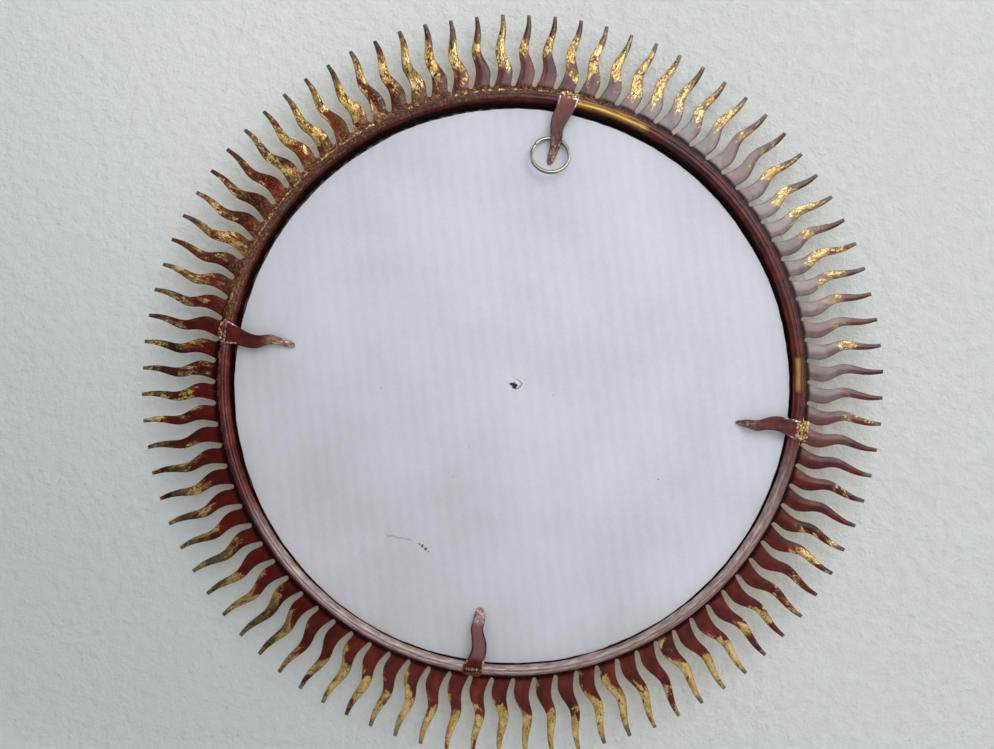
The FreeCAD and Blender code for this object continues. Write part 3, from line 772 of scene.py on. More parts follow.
# %% Flaps
# each flap: right and up from the hole's middle, size, direction in degrees, how far it's lifted
FLAPS = [(1.9, 2.0, 2.6, 40, 42), (-1.2, 2.4, 1.8, -20, 30), (-2.6, -0.9, 1.9, -110, 25),
         (0.9, -2.9, 1.7, 175, 30), (2.9, -0.9, 1.6, 110, 28)]
# how wide a flap is at each height, in shares of its size
FLAP_WIDTHS = {-0.5: 0.25, -0.25: 0.6, 0.0: 0.85, 0.25: 0.95}
FLAP_GAUGE = 0.18 * MM
FLAP_LEVEL = 0.02 * MM


def flap(right, up, size, heading, lift):
    piece = apply_place(upright_grid(5, 5, "flap"))
    mesh = edit(piece)
    for row, wide in FLAP_WIDTHS.items():
        pick(mesh, lambda vertex: abs(vertex.co.z - row) < 0.05)
        bpy.ops.transform.resize(value=(wide, 1, 1), center_override=(0, 0, 0))
    bpy.ops.mesh.select_all(action="SELECT")
    bpy.ops.transform.resize(value=(size * MM, 1, size * MM), center_override=(0, 0, 0))
    for row in (0.25, 0.0, -0.25):
        pick(mesh, lambda vertex: vertex.co.z < (row + 0.05) * size * MM)
        bpy.ops.transform.rotate(value=radians(-lift / 2.5), orient_axis="X",
                                 center_override=(0, 0, row * size * MM))
    leave_edit(piece)
    modifier(piece, "SOLIDIFY", thickness=FLAP_GAUGE, offset=0)
    subdivide_smoothly(piece)
    turn_clockwise(piece, heading + CAMERA_ROLL_DEGREES)
    piece.data.transform(Matrix.Translation(on_card(right, up, HOLE_PLACE) + Vector((0, FLAP_LEVEL, 0))))
    return piece


card = join([card] + [flap(*settings) for settings in FLAPS], "card_face")
smooth(card, 30)
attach(card, "mirror_frame")
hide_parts("card_back_liner")
levels = [vertex.co.y / MM for vertex in card.data.vertices]
print("card with flaps:", len(card.data.polygons), "faces, levels, mm:",
      round(min(levels), 2), round(max(levels), 2))

# %% [markdown]
# ## Shader values that can be reckoned with
#
# A finish is worked out from numbers that differ at each point, such as how far out it lies. This
# small class lets them be added and multiplied like plain numbers, and each step adds its node.

# %% Shader values
class Value:
    """One output of a node: a number, a place or a colour that differs from point to point."""

    def __init__(self, socket):
        self.socket = socket

    def __add__(self, other):
        return maths("ADD", self, other)

    def __sub__(self, other):
        return maths("SUBTRACT", self, other)

    def __rsub__(self, other):
        return maths("SUBTRACT", other, self)

    def __mul__(self, other):
        return maths("MULTIPLY", self, other)

    def __truediv__(self, other):
        return maths("DIVIDE", self, other)

    def __abs__(self):
        return maths("ABSOLUTE", self)


def give(socket, given):
    """Links a value to a socket, or sets the socket to a plain number."""
    if isinstance(given, Value):
        socket.id_data.links.new(given.socket, socket)
    else:
        socket.default_value = given


def source(tree, kind, output=0):
    """Adds a node that needs no values, and gives one of its outputs."""
    return Value(tree.nodes.new(kind).outputs[output])


def put(kind, output=0, **inputs):
    """Adds a node to the tree of its values. A set_ word is a setting, and i0, i1... are its inputs."""
    tree = next(given.socket.id_data for given in inputs.values() if isinstance(given, Value))
    node = tree.nodes.new(kind)
    for key, given in inputs.items():
        if key.startswith("set_"):
            setattr(node, key[4:], given)
        else:
            give(node.inputs[int(key[1:]) if key[1:].isdigit() else key], given)
    return Value(node.outputs[output])


def numbered(given):
    return {f"i{number}": one for number, one in enumerate(given)}


def maths(operation, *given):
    return put("ShaderNodeMath", set_operation=operation, **numbered(given))


def vector(operation, *given, output=0):
    return put("ShaderNodeVectorMath", output, set_operation=operation, **numbered(given))


def dot(first, second):
    return vector("DOT_PRODUCT", first, second, output="Value")


def distance(first, second):
    return vector("DISTANCE", first, second, output="Value")


def part(place, number):
    return put("ShaderNodeSeparateXYZ", number, i0=place)


def most(*masks):
    found = masks[0]
    for mask in masks[1:]:
        found = maths("MAXIMUM", found, mask)
    return found


def between(number, low, high):
    """0 below low, 1 above high, smooth in between. With low above high it's the other way round."""
    return put("ShaderNodeMapRange", set_interpolation_type="SMOOTHSTEP", i0=number, i1=low, i2=high)


# %% [markdown]
# ## Colours and patterns
#
# A colour is written as on a paint chart, three numbers up to 255, or else as the shader's own
# numbers with a fourth one for its opacity. Patterns are noises at a place, and a place can be
# shaken by a noise first, so that what is drawn there comes out ragged.

# %% Colours and patterns
GLAZE = (134, 80, 44)
DIRT = (30, 14, 9)
LIT_SPECK = (188, 140, 104)
DULL_GOLD = (158, 122, 62)
OLIVE_GOLD = (112, 98, 46)
DEEP_RED = (56, 9, 6)
SOOT = (34, 20, 12)
RUBBED_BROWN = (128, 68, 38)
BLOT = (36, 18, 13)
PAINTED_SHEEN_GREY = (148, 140, 138)
CORNER_SHADE = (30, 10, 8)
TARNISH = (88, 74, 48)
FLANK_EDGE_SHADE = (40, 20, 13)
TOP_SHADE_RED = (44, 17, 10)
SHADED_RED = (26, 7, 5)
TAB_SHEEN_MAUVE = (140, 104, 110)
FLANK_SHADE_RED = (46, 12, 10)
FLY_SPECK = (70, 56, 50)
CREASE_SHADE_GREY = (120, 116, 120)
FRESH_PAPER = (232, 233, 238)
TORN_GREY = (84, 82, 86)
RING_GRIME = (96, 88, 60)
HOLE_AND_GAP_SHADE = (10, 8, 7)
MOULDING_BACK_SHADE = (18, 9, 7)
WALL_BRIGHT = (227, 231, 228)
WALL_DIM = (190, 195, 196)


def linear(colour):
    """Turns a paint-chart colour into the shader's numbers, and leaves any other as it is."""
    if isinstance(colour, Value) or len(colour) == 4:
        return colour
    shares = [number / 255 for number in colour]
    return (*(share / 12.92 if share <= 0.04045 else ((share + 0.055) / 1.055) ** 2.4
              for share in shares), 1.0)


def ramp(number, stops):
    """A colour for each number, from stops of {number: colour}."""
    node = number.socket.id_data.nodes.new("ShaderNodeValToRGB")
    elements = node.color_ramp.elements
    while len(elements) < len(stops):
        elements.new(0.5)
    for element, (place, colour) in zip(elements, stops.items()):
        element.position = place
        element.color = linear(colour)
    give(node.inputs[0], number)
    return Value(node.outputs[0])


def mixed(share, first, second, blend="MIX"):
    return put("ShaderNodeMix", 2, set_data_type="RGBA", set_blend_type=blend, i0=share,
               i6=linear(first), i7=linear(second))


def noise(place, scale, detail=4.0, roughness=0.6, distortion=0.0, output="Fac"):
    return put("ShaderNodeTexNoise", output, Vector=place, Scale=scale, Detail=detail,
               Roughness=roughness, Distortion=distortion)


def shaken(place, scale, detail, roughness, reach):
    """The place, moved by a noise by up to a reach along each axis."""
    moved = noise(place, scale, detail, roughness, output="Color")
    return vector("MULTIPLY_ADD", moved, (reach,) * 3, place)


# %% [markdown]
# ## Materials and node groups
#
# Each finish is a function that starts a material, works out its looks, and ends it. What several
# finishes share is a node group, made once, which takes a place and some numbers.

# %% Materials and groups
def new_material(name):
    """A new material, and the place of its points in the model's own frame."""
    material = bpy.data.materials.new(name)
    material.use_nodes = True
    return material, source(material.node_tree, "ShaderNodeTexCoord", "Object")


def facing_back(place):
    """How far the surface faces the back: 1 at the back, -1 at the front."""
    return part(Value(place.socket.node.outputs["Normal"]), 1)


def attribute(place, name):
    """Reads a number that was written on the points of a piece."""
    node = place.socket.id_data.nodes.new("ShaderNodeAttribute")
    node.attribute_name = name
    return Value(node.outputs["Fac"])


def finished(material, colour, roughness, metallic=0.0, gloss=0.5, bump=None):
    """Ends a material. A bump is its height, its strength and its depth in metres."""
    inputs = material.node_tree.nodes["Principled BSDF"].inputs
    give(inputs["Base Color"], colour)
    give(inputs["Roughness"], roughness)
    give(inputs["Metallic"], metallic)
    give(inputs["Specular IOR Level"], gloss)
    if bump:
        height, strength, depth = bump
        give(inputs["Normal"], put("ShaderNodeBump", Strength=strength, Distance=depth, Height=height))
    return material


def dress(piece, material):
    piece.data.materials.clear()
    piece.data.materials.append(material)


def group(name, numbers, outputs):
    """Starts a node group. Gives its tree, and the values that it takes: a place, then the numbers."""
    tree = bpy.data.node_groups.new(name, "ShaderNodeTree")
    tree.interface.new_socket("Place", in_out="INPUT", socket_type="NodeSocketVector")
    for label in numbers:
        tree.interface.new_socket(label, in_out="INPUT", socket_type="NodeSocketFloat")
    for label in outputs:
        kind = "NodeSocketColor" if label == "Colour" else "NodeSocketFloat"
        tree.interface.new_socket(label, in_out="OUTPUT", socket_type=kind)
    start = tree.nodes.new("NodeGroupInput")
    return tree, [Value(start.outputs[number]) for number in range(len(numbers) + 1)]


def ended(tree, *found):
    """Ends a node group with the values that it gives."""
    end = tree.nodes.new("NodeGroupOutput")
    for number, value in enumerate(found):
        give(end.inputs[number], value)
    print("group", tree.name)
    return tree


def use_group(which, **inputs):
    """Adds a node group to a material, and gives its outputs by name."""
    node = inputs["Place"].socket.id_data.nodes.new("ShaderNodeGroup")
    node.node_tree = which
    for key, given in inputs.items():
        give(node.inputs[key.replace("_", " ")], given)
    return {socket.name: Value(socket) for socket in node.outputs}


# %% [markdown]
# ## Node group: place on the disc
#
# The wear depends on where a point lies: how far out it is, and at which hour of the round. This
# group turns a place into a radius, a direction as the photograph sees it, and a share of the ray.

# %% Place group
def disc_place_group():
    tree, (place,) = group("disc_place", (), ("Radius", "Right", "Up", "Share"))
    flat = vector("MULTIPLY", place, (1, 0, 1))
    radius = vector("LENGTH", flat, output="Value")
    unit = vector("NORMALIZE", flat)
    turn = radians(CAMERA_ROLL_DEGREES)
    right = dot(unit, (-cos(turn), 0, sin(turn)))
    up = dot(unit, (sin(turn), 0, cos(turn)))
    share = (radius - ROOT_RADIUS) / RAY_LENGTH
    return ended(tree, radius, right, up, share)


disc_place = disc_place_group()

# %% [markdown]
# ## Node group: gilded bole
#
# Gold leaf is laid in thin squares over red clay paint, which gilders call bole. The leaf lies in torn
# patches, cracks into small scales, and round each patch it's rubbed to an orange glaze over maroon.
# One group paints all of this from one number, how much leaf there is, so that rays, rim, solder
# and moulding differ only in the values that they give it.

# %% Gilded bole group
CRACK_SHAKE = 1.4 * MM


def gilded_bole_group():
    """Gives the colour, how far it's metal, and the relief, for an amount of leaf from 0 to 1."""
    tree, (place, amount, patch_scale, crackle, specks, dirt) = group(
        "gilded_bole", ("Amount", "Patch scale", "Crackle", "Specks", "Dirt"), ("Colour", "Leaf", "Height"))
    large = noise(place, patch_scale, 5.0, 0.6, 0.7)
    small = noise(place, patch_scale * 3.6, 4.0, 0.65)
    field = large * 0.68 + small * 0.32
    level = amount * 0.46 + (field - 0.73)
    solid = between(level, -0.006, 0.01)
    glaze = between(level, -0.045, 0.004)
    fine = noise(place, 1500.0, 3.0, 0.7)
    wavy = shaken(place, 900.0, 2.0, 0.5, CRACK_SHAKE)
    cracks = put("ShaderNodeTexVoronoi", "Distance", set_feature="DISTANCE_TO_EDGE", Vector=wavy,
                 Scale=720.0)
    width = crackle * (small * 1.5 - 0.55)
    whole = between(cracks - width * 0.42, -0.03, 0.05)
    leaf = solid * whole
    clouds = noise(place, 130.0, 5.0, 0.65)
    paint = ramp(clouds, {0.3: (44, 7, 5), 0.44: (74, 13, 8), 0.58: (98, 22, 13), 0.74: (120, 46, 24)})
    paint = mixed(glaze * 0.6, paint, GLAZE)
    tone = noise(place, 210.0, 5.0, 0.7, 0.4)
    gold = ramp(tone, {0.3: (98, 78, 40), 0.4: (150, 122, 64), 0.5: (196, 164, 94), 0.6: (224, 200, 138),
                       0.74: (240, 228, 192)})
    colour = mixed(leaf, paint, gold)
    dark = between(fine * 0.45 + small * 0.55, 0.52, 0.6)
    dark *= dirt * (glaze * 0.75 + 0.25)
    colour = mixed(dark * 0.85, colour, DIRT)
    grit = noise(place, 1100.0, 4.0, 0.75, 0.5)
    lit = between(specks * 0.2 + grit, 0.7, 0.76)
    lit *= 1.0 - leaf
    colour = mixed(lit * 0.7, colour, LIT_SPECK)
    metal = leaf * (1.0 - dark)
    height = leaf * 0.4 + small * 0.6
    height += lit * 0.5
    return ended(tree, colour, metal, height)


gilded_bole = gilded_bole_group()

# %% [markdown]
# ## Node group: crumbs
#
# Solder, gold dust and dirt lie as crumbs in the corners. One noise gives both their colour and
# their height, so that the tall grains are the light ones.

# %% Crumbs group
def crumbs_group():
    """Grains of solder, gold dust and dirt, each under a millimetre."""
    tree, (place,) = group("crumbs", (), ("Colour", "Height"))
    grains = noise(place, 620.0, 5.0, 0.8, 0.6)
    colour = ramp(grains, {0.4: (26, 11, 6), 0.47: (78, 36, 20), 0.54: (126, 78, 44),
                           0.61: (184, 142, 88), 0.7: (226, 202, 156)})
    return ended(tree, colour, grains)


crumbs = crumbs_group()

# %% [markdown]
# ## Masks by the hour
#
# Light and shade are painted more on one side of the mirror than on the other, and the maker gilded some
# hours of the round more. So a mask is needed that is 1 near one direction on the disc and fades away from
# it, and one more for pulling a pattern out along the rays.

# %% Hour masks
# about how far out the rays lie, so that a drawn pattern keeps its size across them
DRAWN_RING = 0.19


def near_direction(disc, clockwise, full, none):
    """1 within full degrees of a direction in the photograph, 0 beyond none degrees."""
    right = disc["Right"] * sin(radians(clockwise))
    both = disc["Up"] * cos(radians(clockwise)) + right
    return between(both, cos(radians(none)), cos(radians(full)))


def along_rays(place, disc, stretch):
    """The place with its distance from the axis shortened, so a pattern is drawn out along the rays."""
    unit = vector("NORMALIZE", vector("MULTIPLY", place, (1, 0, 1)))
    height = disc["Radius"] * (1 / stretch) + part(place, 1)
    return vector("ADD", vector("MULTIPLY", unit, (DRAWN_RING,) * 3), put("ShaderNodeCombineXYZ", Y=height))


# %% [markdown]
# ## Finish of the rays
#
# Red bole covers the roots. The leaf lies from the middle outwards, more of it on some rays than on
# others, and as crumbs down to the root at the upper left. The amount of leaf is summed from the
# share along the ray, the hour, and the ray's own luck. Then the colour changes by the hour: dull gold,
# olive gold and soot on the left, deeper red paint on the left too, and ends rubbed to dark tin. Light is
# painted
# too: a pale grey sheen on the roots at the upper right, and painted shade in the crevice at the roots and
# along their flanks.

# %% Ray finish
PAINT_GLOSS = 0.25


def ray_material():
    material, place = new_material("worn_gilding")
    disc = use_group(disc_place, Place=place)
    share = disc["Share"]
    chance = attribute(place, "chance")
    across = attribute(place, "across")
    drawn = along_rays(place, disc, 1.9)
    outer = between(share, 0.05, 0.62)
    upper_left = near_direction(disc, -42, 16, 42)
    upper_right = near_direction(disc, 32, 35, 75)
    far_right = near_direction(disc, 104, 14, 38)
    lower = near_direction(disc, 185, 30, 80)
    amount = outer * 0.4 + 0.15
    amount += (chance - 0.5) * 0.24
    amount += upper_left * (1.0 - outer) * 0.24
    middle = between(share, 0.0, 0.25) * between(share, 0.85, 0.55)
    amount += upper_right * middle * 0.1
    amount += upper_right * between(share, 0.6, 0.85) * -0.14
    amount += far_right * -0.16
    amount += near_direction(disc, 21, 8, 16) * between(share, 0.04, 0.14) * 0.2
    amount += lower * across * between(share, 0.5, 0.35) * 0.2
    amount += lower * between(share, 0.4, 0.6) * 0.1
    # The zone of the painted sheen at the upper right, where a little leaf is also taken away.
    sheen_zone = near_direction(disc, 60, 22, 48) * between(share, 0.85, 0.3)
    amount += sheen_zone * -0.05
    is_front = between(facing_back(place), -0.2, -0.5)
    amount = most(amount, is_front * 0.9)
    specks = upper_left * 0.45 + 0.2
    dirt = most(outer, upper_left) * 0.55 + 0.4
    dirt *= is_front * -0.6 + 1.0
    crackle = lower * -0.55 + 0.75
    colour, metal, height = use_group(gilded_bole, Place=drawn, Amount=amount, Patch_scale=95.0,
                                      Crackle=crackle, Specks=specks, Dirt=dirt).values()
    dull = most(upper_right, lower) * metal * 0.45
    colour = mixed(dull, colour, DULL_GOLD)
    left = near_direction(disc, 250, 24, 50)
    colour = mixed(left * metal * 0.55, colour, OLIVE_GOLD)
    unleafed = 1.0 - metal
    colour = mixed(left * unleafed * 0.45, colour, DEEP_RED)
    soot = between(noise(drawn, 75.0, 4.0, 0.6, 0.2), 0.54, 0.47)
    colour = mixed(left * soot * outer * 0.75, colour, SOOT)
    grainy = use_group(crumbs, Place=place)["Colour"]
    clouds = noise(place, 85.0, 3.0)
    brown = unleafed * upper_left * between(clouds, 0.46, 0.6) * 0.4
    colour = mixed(brown, colour, RUBBED_BROWN)
    blots = between(noise(place, 62.0, 4.0, 0.6, 0.3), 0.5, 0.42)
    colour = mixed(upper_left * blots * 0.72, colour, BLOT)
    # Painted sheen: the roots at the upper right are mixed towards pale grey, as the window's reflection on
    # the glossy paint.
    sheen_veil = between(clouds, 0.38, 0.6) * 0.3 + 0.42
    colour = mixed(unleafed * sheen_zone * sheen_veil, colour, PAINTED_SHEEN_GREY)
    # Painted shade in the crevice where the roots meet the bead, where the gloss is lowered too.
    root_shade = between(share, 0.06, 0.01) * (1.0 - upper_left) * 0.9
    colour = mixed(root_shade, colour, CORNER_SHADE)
    root = between(noise(place, 160.0, 4.0) * 0.5 + share, 0.46, 0.16)
    gritty = most(upper_left * root * 0.85,
                  near_direction(disc, -5, 20, 36) * between(share, 0.05, -0.02) * 0.8)
    colour = mixed(gritty, colour, grainy)
    metal *= 1.0 - gritty
    tarnish = (between(share, 0.5, 0.85) * most(upper_right, upper_left)
               * between(noise(place, 55.0, 2.0), 0.4, 0.6))
    colour = mixed(tarnish * 0.55, colour, TARNISH)
    ends = noise(place, 70.0, 3.0) * 0.35 + share
    bare = between(chance * 0.1 + ends, 1.13, 1.2)
    bare *= is_front * -0.8 + 1.0
    dark_tin = ramp(noise(place, 600.0, 4.0), {0.3: (44, 36, 33), 0.7: (112, 102, 92)})
    colour = mixed(bare * 0.85, colour, dark_tin)
    # Painted shade along the flanks of the rays near their roots.
    edge = between(abs(across), 0.8, 0.98)
    colour = mixed(edge * between(share, 0.02, 0.2) * 0.55, colour, FLANK_EDGE_SHADE)
    gloss = most(upper_left, left) * (-0.65 * PAINT_GLOSS) + PAINT_GLOSS
    gloss *= 1.0 - root_shade
    return finished(material, colour, roughness=most(metal, gritty) * 0.24 + 0.22,
                    metallic=metal * 0.42 * (1.0 - bare), gloss=gloss, bump=(height, 0.55, 0.0005))


ray_finish = ray_material()
for strip in ray_strips:
    dress(strip, ray_finish)
print("finished", len(ray_strips), "strips")

# %% [markdown]
# ## Finish of the rim
#
# The roll has the same red paint. At the top it's painted darker, with its inner lobe nearly black, as
# painted shade.
# At the bottom it's dull and pale, painted as dust and as a sheen that is strongest on the inner lobe, and
# gold crumbs lie along the seam at the upper left. One stretch right of the top tab is smooth gold, with a
# painted highlight that makes it brightest along the ridge. These are masks by the hour, by the distance
# from the axis, and by how far over the roll's section a point lies.

# %% Rim finish
RIM_CREASE = HOOP_INSIDE + 2.6 * MM


def rim_material():
    material, place = new_material("bole_paint_rim")
    disc = use_group(disc_place, Place=place)
    radius = disc["Radius"]
    inner = between(radius, RIM_CREASE + 0.2 * MM, RIM_CREASE - 1.0 * MM)
    outer = between(radius, RIM_CREASE - 1.3 * MM, RIM_CREASE + 1.0 * MM)
    level = part(place, 1)
    wall = between(level, BEAD_TOP - 3.2 * MM, BEAD_TOP - 5.6 * MM)
    over = radius + (level - (HOOP_INSIDE + BEAD_TOP))
    ridge = between(over, -2.2 * MM, -0.6 * MM)
    upper = between(disc["Up"], -0.35, 0.35)
    upper_left = near_direction(disc, -40, 28, 55)
    patch = noise(place, 42.0, 3.0, 0.6)
    amount = upper_left * ridge * 0.22 + 0.04
    amount += (patch - 0.5) * 0.5
    amount *= 1.0 - wall
    grainy, grain_height = use_group(crumbs, Place=place).values()
    specks = upper_left * ridge * 0.65 + 0.15
    dirt = upper_left * 0.5 + 0.45
    colour, metal, height = use_group(gilded_bole, Place=place, Amount=amount, Patch_scale=300.0,
                                      Crackle=0.8, Specks=specks, Dirt=dirt).values()
    loose = upper_left * ridge + (patch * 1.2 - 0.72)
    colour = mixed(between(loose, 0.15, 0.6) * 0.55, colour, grainy)
    height += grain_height * loose * 0.7
    drawn_round = along_rays(place, disc, 0.2)
    # Painted highlight: the stretch of gold is brightest along the ridge and darker to both sides of it.
    off_ridge = abs(over - 0.2 * MM)
    tone = off_ridge * (-0.11 / MM) + 0.66 + (noise(drawn_round, 110.0, 3.0) * 0.4 - 0.2)
    gold_with_ridge_highlight = ramp(tone, {0.18: (58, 28, 14), 0.4: (112, 76, 32), 0.6: (178, 138, 64),
                              0.78: (220, 186, 106)})
    ragged = noise(place, 300.0, 4.0) * 0.6 - 0.3
    stretch = near_direction(disc, 20.5, 5.0, 11.0) + ragged
    stretch = between(stretch, 0.25, 0.75) * between(off_ridge, 4.8 * MM, 3.0 * MM)
    patch_right = near_direction(disc, 89.5, 1, 5) + ragged
    patch_right = between(patch_right, 0.4, 0.9) * 0.75
    stretch = most(stretch, patch_right * ridge)
    # Painted shade: the whole roll is darker at the top, where it faces down.
    top = near_direction(disc, -5, 35, 75)
    colour = mixed(top * 0.42, colour, TOP_SHADE_RED)
    colour = mixed(stretch, colour, gold_with_ridge_highlight)
    deep = most(inner * upper * 0.15, wall)
    colour = mixed(deep * 0.76, colour, SHADED_RED)
    # Pale dust and painted sheen on the lower part of the roll, more on the inner lobe, which faces the
    # light there.
    lower = near_direction(disc, 174, 52, 76)
    streaks = noise(along_rays(place, disc, 0.12), 115.0, 4.0, 0.6)
    dust_and_sheen = lower * (1.0 - wall)
    pale = ramp(streaks, {0.32: (124, 98, 92), 0.5: (162, 140, 134), 0.66: (196, 182, 174)})
    lit_lobe_share = outer * -0.42 + 0.92
    colour = mixed(dust_and_sheen * lit_lobe_share, colour, pale)
    return finished(material, colour, roughness=dust_and_sheen * 0.2 + 0.17,
                    metallic=most(metal * 0.4, stretch * 0.38), gloss=0.26, bump=(height, 0.5, 0.0005))


dress(rim, rim_material())

# %% [markdown]
# ## Finish of the solder
#
# The crumbs are solder rubbed with gold, so they take the same group with a fine pattern. At the
# feet of the tabs they're nearly all gold. Along the seam they're gold only at the upper left, and
# elsewhere they're painted as dark as the rays' roots, as painted shade in the corner.

# %% Solder finish
FOOT_GOLD = {"top": 0.56, "right": 0.60, "bottom": 0.22, "left": 0.34}


def solder_material():
    material, place = new_material("gold_solder")
    disc = use_group(disc_place, Place=place)
    upper_left = near_direction(disc, -35, 30, 75)
    amount = upper_left * 0.34 + 0.14
    for label, angle in TAB_ANGLES.items():
        foot = outward(angle) * (BEAD_EDGE + 2 * MM) + Vector((0, PLATE_BACK + 1 * MM, 0))
        away = distance(place, foot)
        amount = most(amount, between(away, 12 * MM, 7 * MM) * FOOT_GOLD[label])
    colour, metal, height = use_group(gilded_bole, Place=place, Amount=amount, Patch_scale=420.0,
                                      Crackle=0.4, Specks=0.4, Dirt=0.7).values()
    # Painted shade: away from the gold, the seam and the lumps are darkened like the corner at the rays'
    # roots.
    shade = 1.0 - between(amount, 0.16, 0.3)
    colour = mixed(shade * 0.7, colour, CORNER_SHADE)
    return finished(material, colour, roughness=0.36, metallic=metal * 0.45, gloss=PAINT_GLOSS,
                    bump=(height, 0.5, 0.0004))


solder_finish = solder_material()
dress(solder, solder_finish)
dress(seam, solder_finish)

# %% [markdown]
# ## Finish of the tabs
#
# Bending cracks paint, so each tab is bare along its fold and its upper flanks, and its end is
# scraped where it rubbed on the card. The bottom one has a painted mauve sheen below its bend, and
# the flanks that aren't bare get painted shade. The rest is dark glossy bole.

# %% Tab finish
def tab_material():
    material, place = new_material("bole_paint_tabs")
    disc = use_group(disc_place, Place=place)
    radius = disc["Radius"]
    across = abs(attribute(place, "across"))
    drawn = along_rays(place, disc, 2.0)
    scratches = noise(drawn, 520.0, 5.0, 0.7, 0.8)
    tip = between(radius, BEAD_RIDGE - 20 * MM, BEAD_RIDGE - 31 * MM)
    root = between(radius, BEAD_RIDGE - 11 * MM, BEAD_RIDGE - 3 * MM)
    fold = between(abs(radius - (BEAD_RIDGE + 0.2 * MM)), 1.4 * MM, 0.5 * MM)
    flank = between(across, 0.72, 0.9) * root
    worn = most(flank * 0.25, fold * 0.2, tip * 0.14)
    bare = between(worn + scratches, 0.66, 0.74)
    colour, _, height = use_group(gilded_bole, Place=drawn, Amount=0.07, Patch_scale=150.0,
                                  Crackle=0.4, Specks=tip * 0.5 + 0.1, Dirt=0.6).values()
    grain = noise(place, 700.0, 3.0)
    tin = ramp(grain, {0.32: (104, 80, 68), 0.5: (160, 134, 120), 0.66: (214, 198, 188)})
    scraped = ramp(scratches, {0.4: (70, 46, 34), 0.52: (140, 108, 84), 0.66: (196, 172, 146)})
    colour = mixed(tip * 0.75, colour, scraped)
    colour = mixed(bare, colour, tin)
    # Painted sheen: the bottom tab is mauve below its bend, where its slope reflects the window.
    lower = near_direction(disc, 187, 8, 12)
    bent = between(radius, BEAD_RIDGE - 4 * MM, BEAD_RIDGE - 8 * MM)
    middle = between(across, 0.95, 0.6)
    colour = mixed(lower * bent * middle * 0.5, colour, TAB_SHEEN_MAUVE)
    # Painted shade along the flanks of the tabs, where they aren't bare.
    flank_shade = between(across, 0.72, 0.98) * (1.0 - bare)
    colour = mixed(flank_shade * 0.55, colour, FLANK_SHADE_RED)
    return finished(material, colour, roughness=0.26, metallic=bare * 0.5, gloss=0.16,
                    bump=(height + scratches, 0.4, 0.0004))


tab_finish = tab_material()
for piece in tabs.values():
    dress(piece, tab_finish)

# %% [markdown]
# ## Finish of the card
#
# White paper is matt and slightly blue. The glue lines of the waves show through as faint stripes, a
# sine across the waves that a noise makes uneven. There are a few specks and a curved crease, whose
# shade is painted as a grey line, and beside the hole the lifted paper is cleaner, with a dark line where
# it tore.

# %% Card finish
CARD_SHAKE = 3 * MM
# right and up from the disc's middle as seen from the back, and size, all in mm
CARD_SPECKS = [(-76.0, -6.3, 0.5), (26.0, -10.5, 0.45), (-23.0, -41.0, 0.4), (-33.0, -59.0, 0.35),
               (-54.2, -97.9, 0.5), (-52.6, -98.2, 0.7), (-51.0, -99.4, 1.0), (-49.0, -101.2, 1.2),
               (-47.4, -102.8, 0.6), (88.0, -60.0, 0.4), (60.0, 40.0, 0.35), (-110.0, 30.0, 0.35),
               (10.0, 88.0, 0.35)]
CREASE_START = (-74.0, -93.2)
CREASE_END = (-56.5, -96.4)
# right and up from the hole's middle
LIFTED_PAPER = (1.7, 0.8)


def card_material():
    material, place = new_material("white_card")
    fibres = noise(place, 650.0, 4.0, 0.7)
    clouds = noise(place, 14.0, 4.0, 0.55)
    lean = radians(FLUTE_LEAN_DEGREES)
    across = dot(place, (cos(lean), 0, -sin(lean)))
    uneven = noise(place, 60.0, 3.0) * 0.0022 + across
    wave = maths("SINE", uneven * (2 * pi / FLUTE_PITCH))
    faint = noise(place, 35.0, 3.0)
    stripes = wave * faint * 0.045
    tone = fibres * 0.3 + (clouds * 0.7 + stripes)
    colour = ramp(tone, {0.34: (202, 202, 209), 0.52: (212, 213, 220), 0.7: (220, 221, 228)})
    disc = use_group(disc_place, Place=place)
    corner = (disc["Right"] + disc["Up"]) * disc["Radius"] * -0.707
    shaded = between(corner, -60 * MM, 150 * MM)
    colour = mixed(shaded, colour, (0.83, 0.83, 0.82, 1.0), "MULTIPLY")
    shaky = shaken(place, 500.0, 3.0, 0.6, CARD_SHAKE)
    half_shake = Vector((CARD_SHAKE / 2,) * 3)
    for right, up, size in CARD_SPECKS:
        away = distance(shaky, on_card(right, up) + half_shake)
        colour = mixed(between(away, size * 1.1 * MM, size * 0.6 * MM) * 0.9, colour, FLY_SPECK)
    # The curved crease is a grey line of painted shade, with no relief.
    start = on_card(*CREASE_START)
    way = on_card(*CREASE_END) - start
    side = Vector((way.z, 0, -way.x)).normalized()
    along = dot(place, way.normalized()) - start.dot(way.normalized())
    bow = noise(place, 110.0, 3.0) * (5 * MM) + dot(place, side)
    bow = abs(bow - (start.dot(side) + 2.5 * MM))
    crease_shade = between(bow, 1.1 * MM, 0.2 * MM) * between(along, 0, 3 * MM)
    crease_shade *= between(along, way.length, way.length - 2 * MM)
    colour = mixed(crease_shade * 0.45, colour, CREASE_SHADE_GREY)
    lifted = on_card(*LIFTED_PAPER, HOLE_PLACE) + half_shake
    away = distance(shaky, lifted)
    rightwards = dot(shaky, picture_right) - lifted.dot(picture_right)
    colour = mixed(between(away, 3.8 * MM, 2.3 * MM) * 0.6, colour, FRESH_PAPER)
    off_tear = abs(away - 2.7 * MM)
    torn = between(off_tear, 0.55 * MM, 0.15 * MM) * between(rightwards, -1.6 * MM, 0.4 * MM)
    colour = mixed(torn * 0.75, colour, TORN_GREY)
    return finished(material, colour, roughness=0.8, gloss=0.25, bump=(fibres, 0.12, 0.0003))


dress(card, card_material())

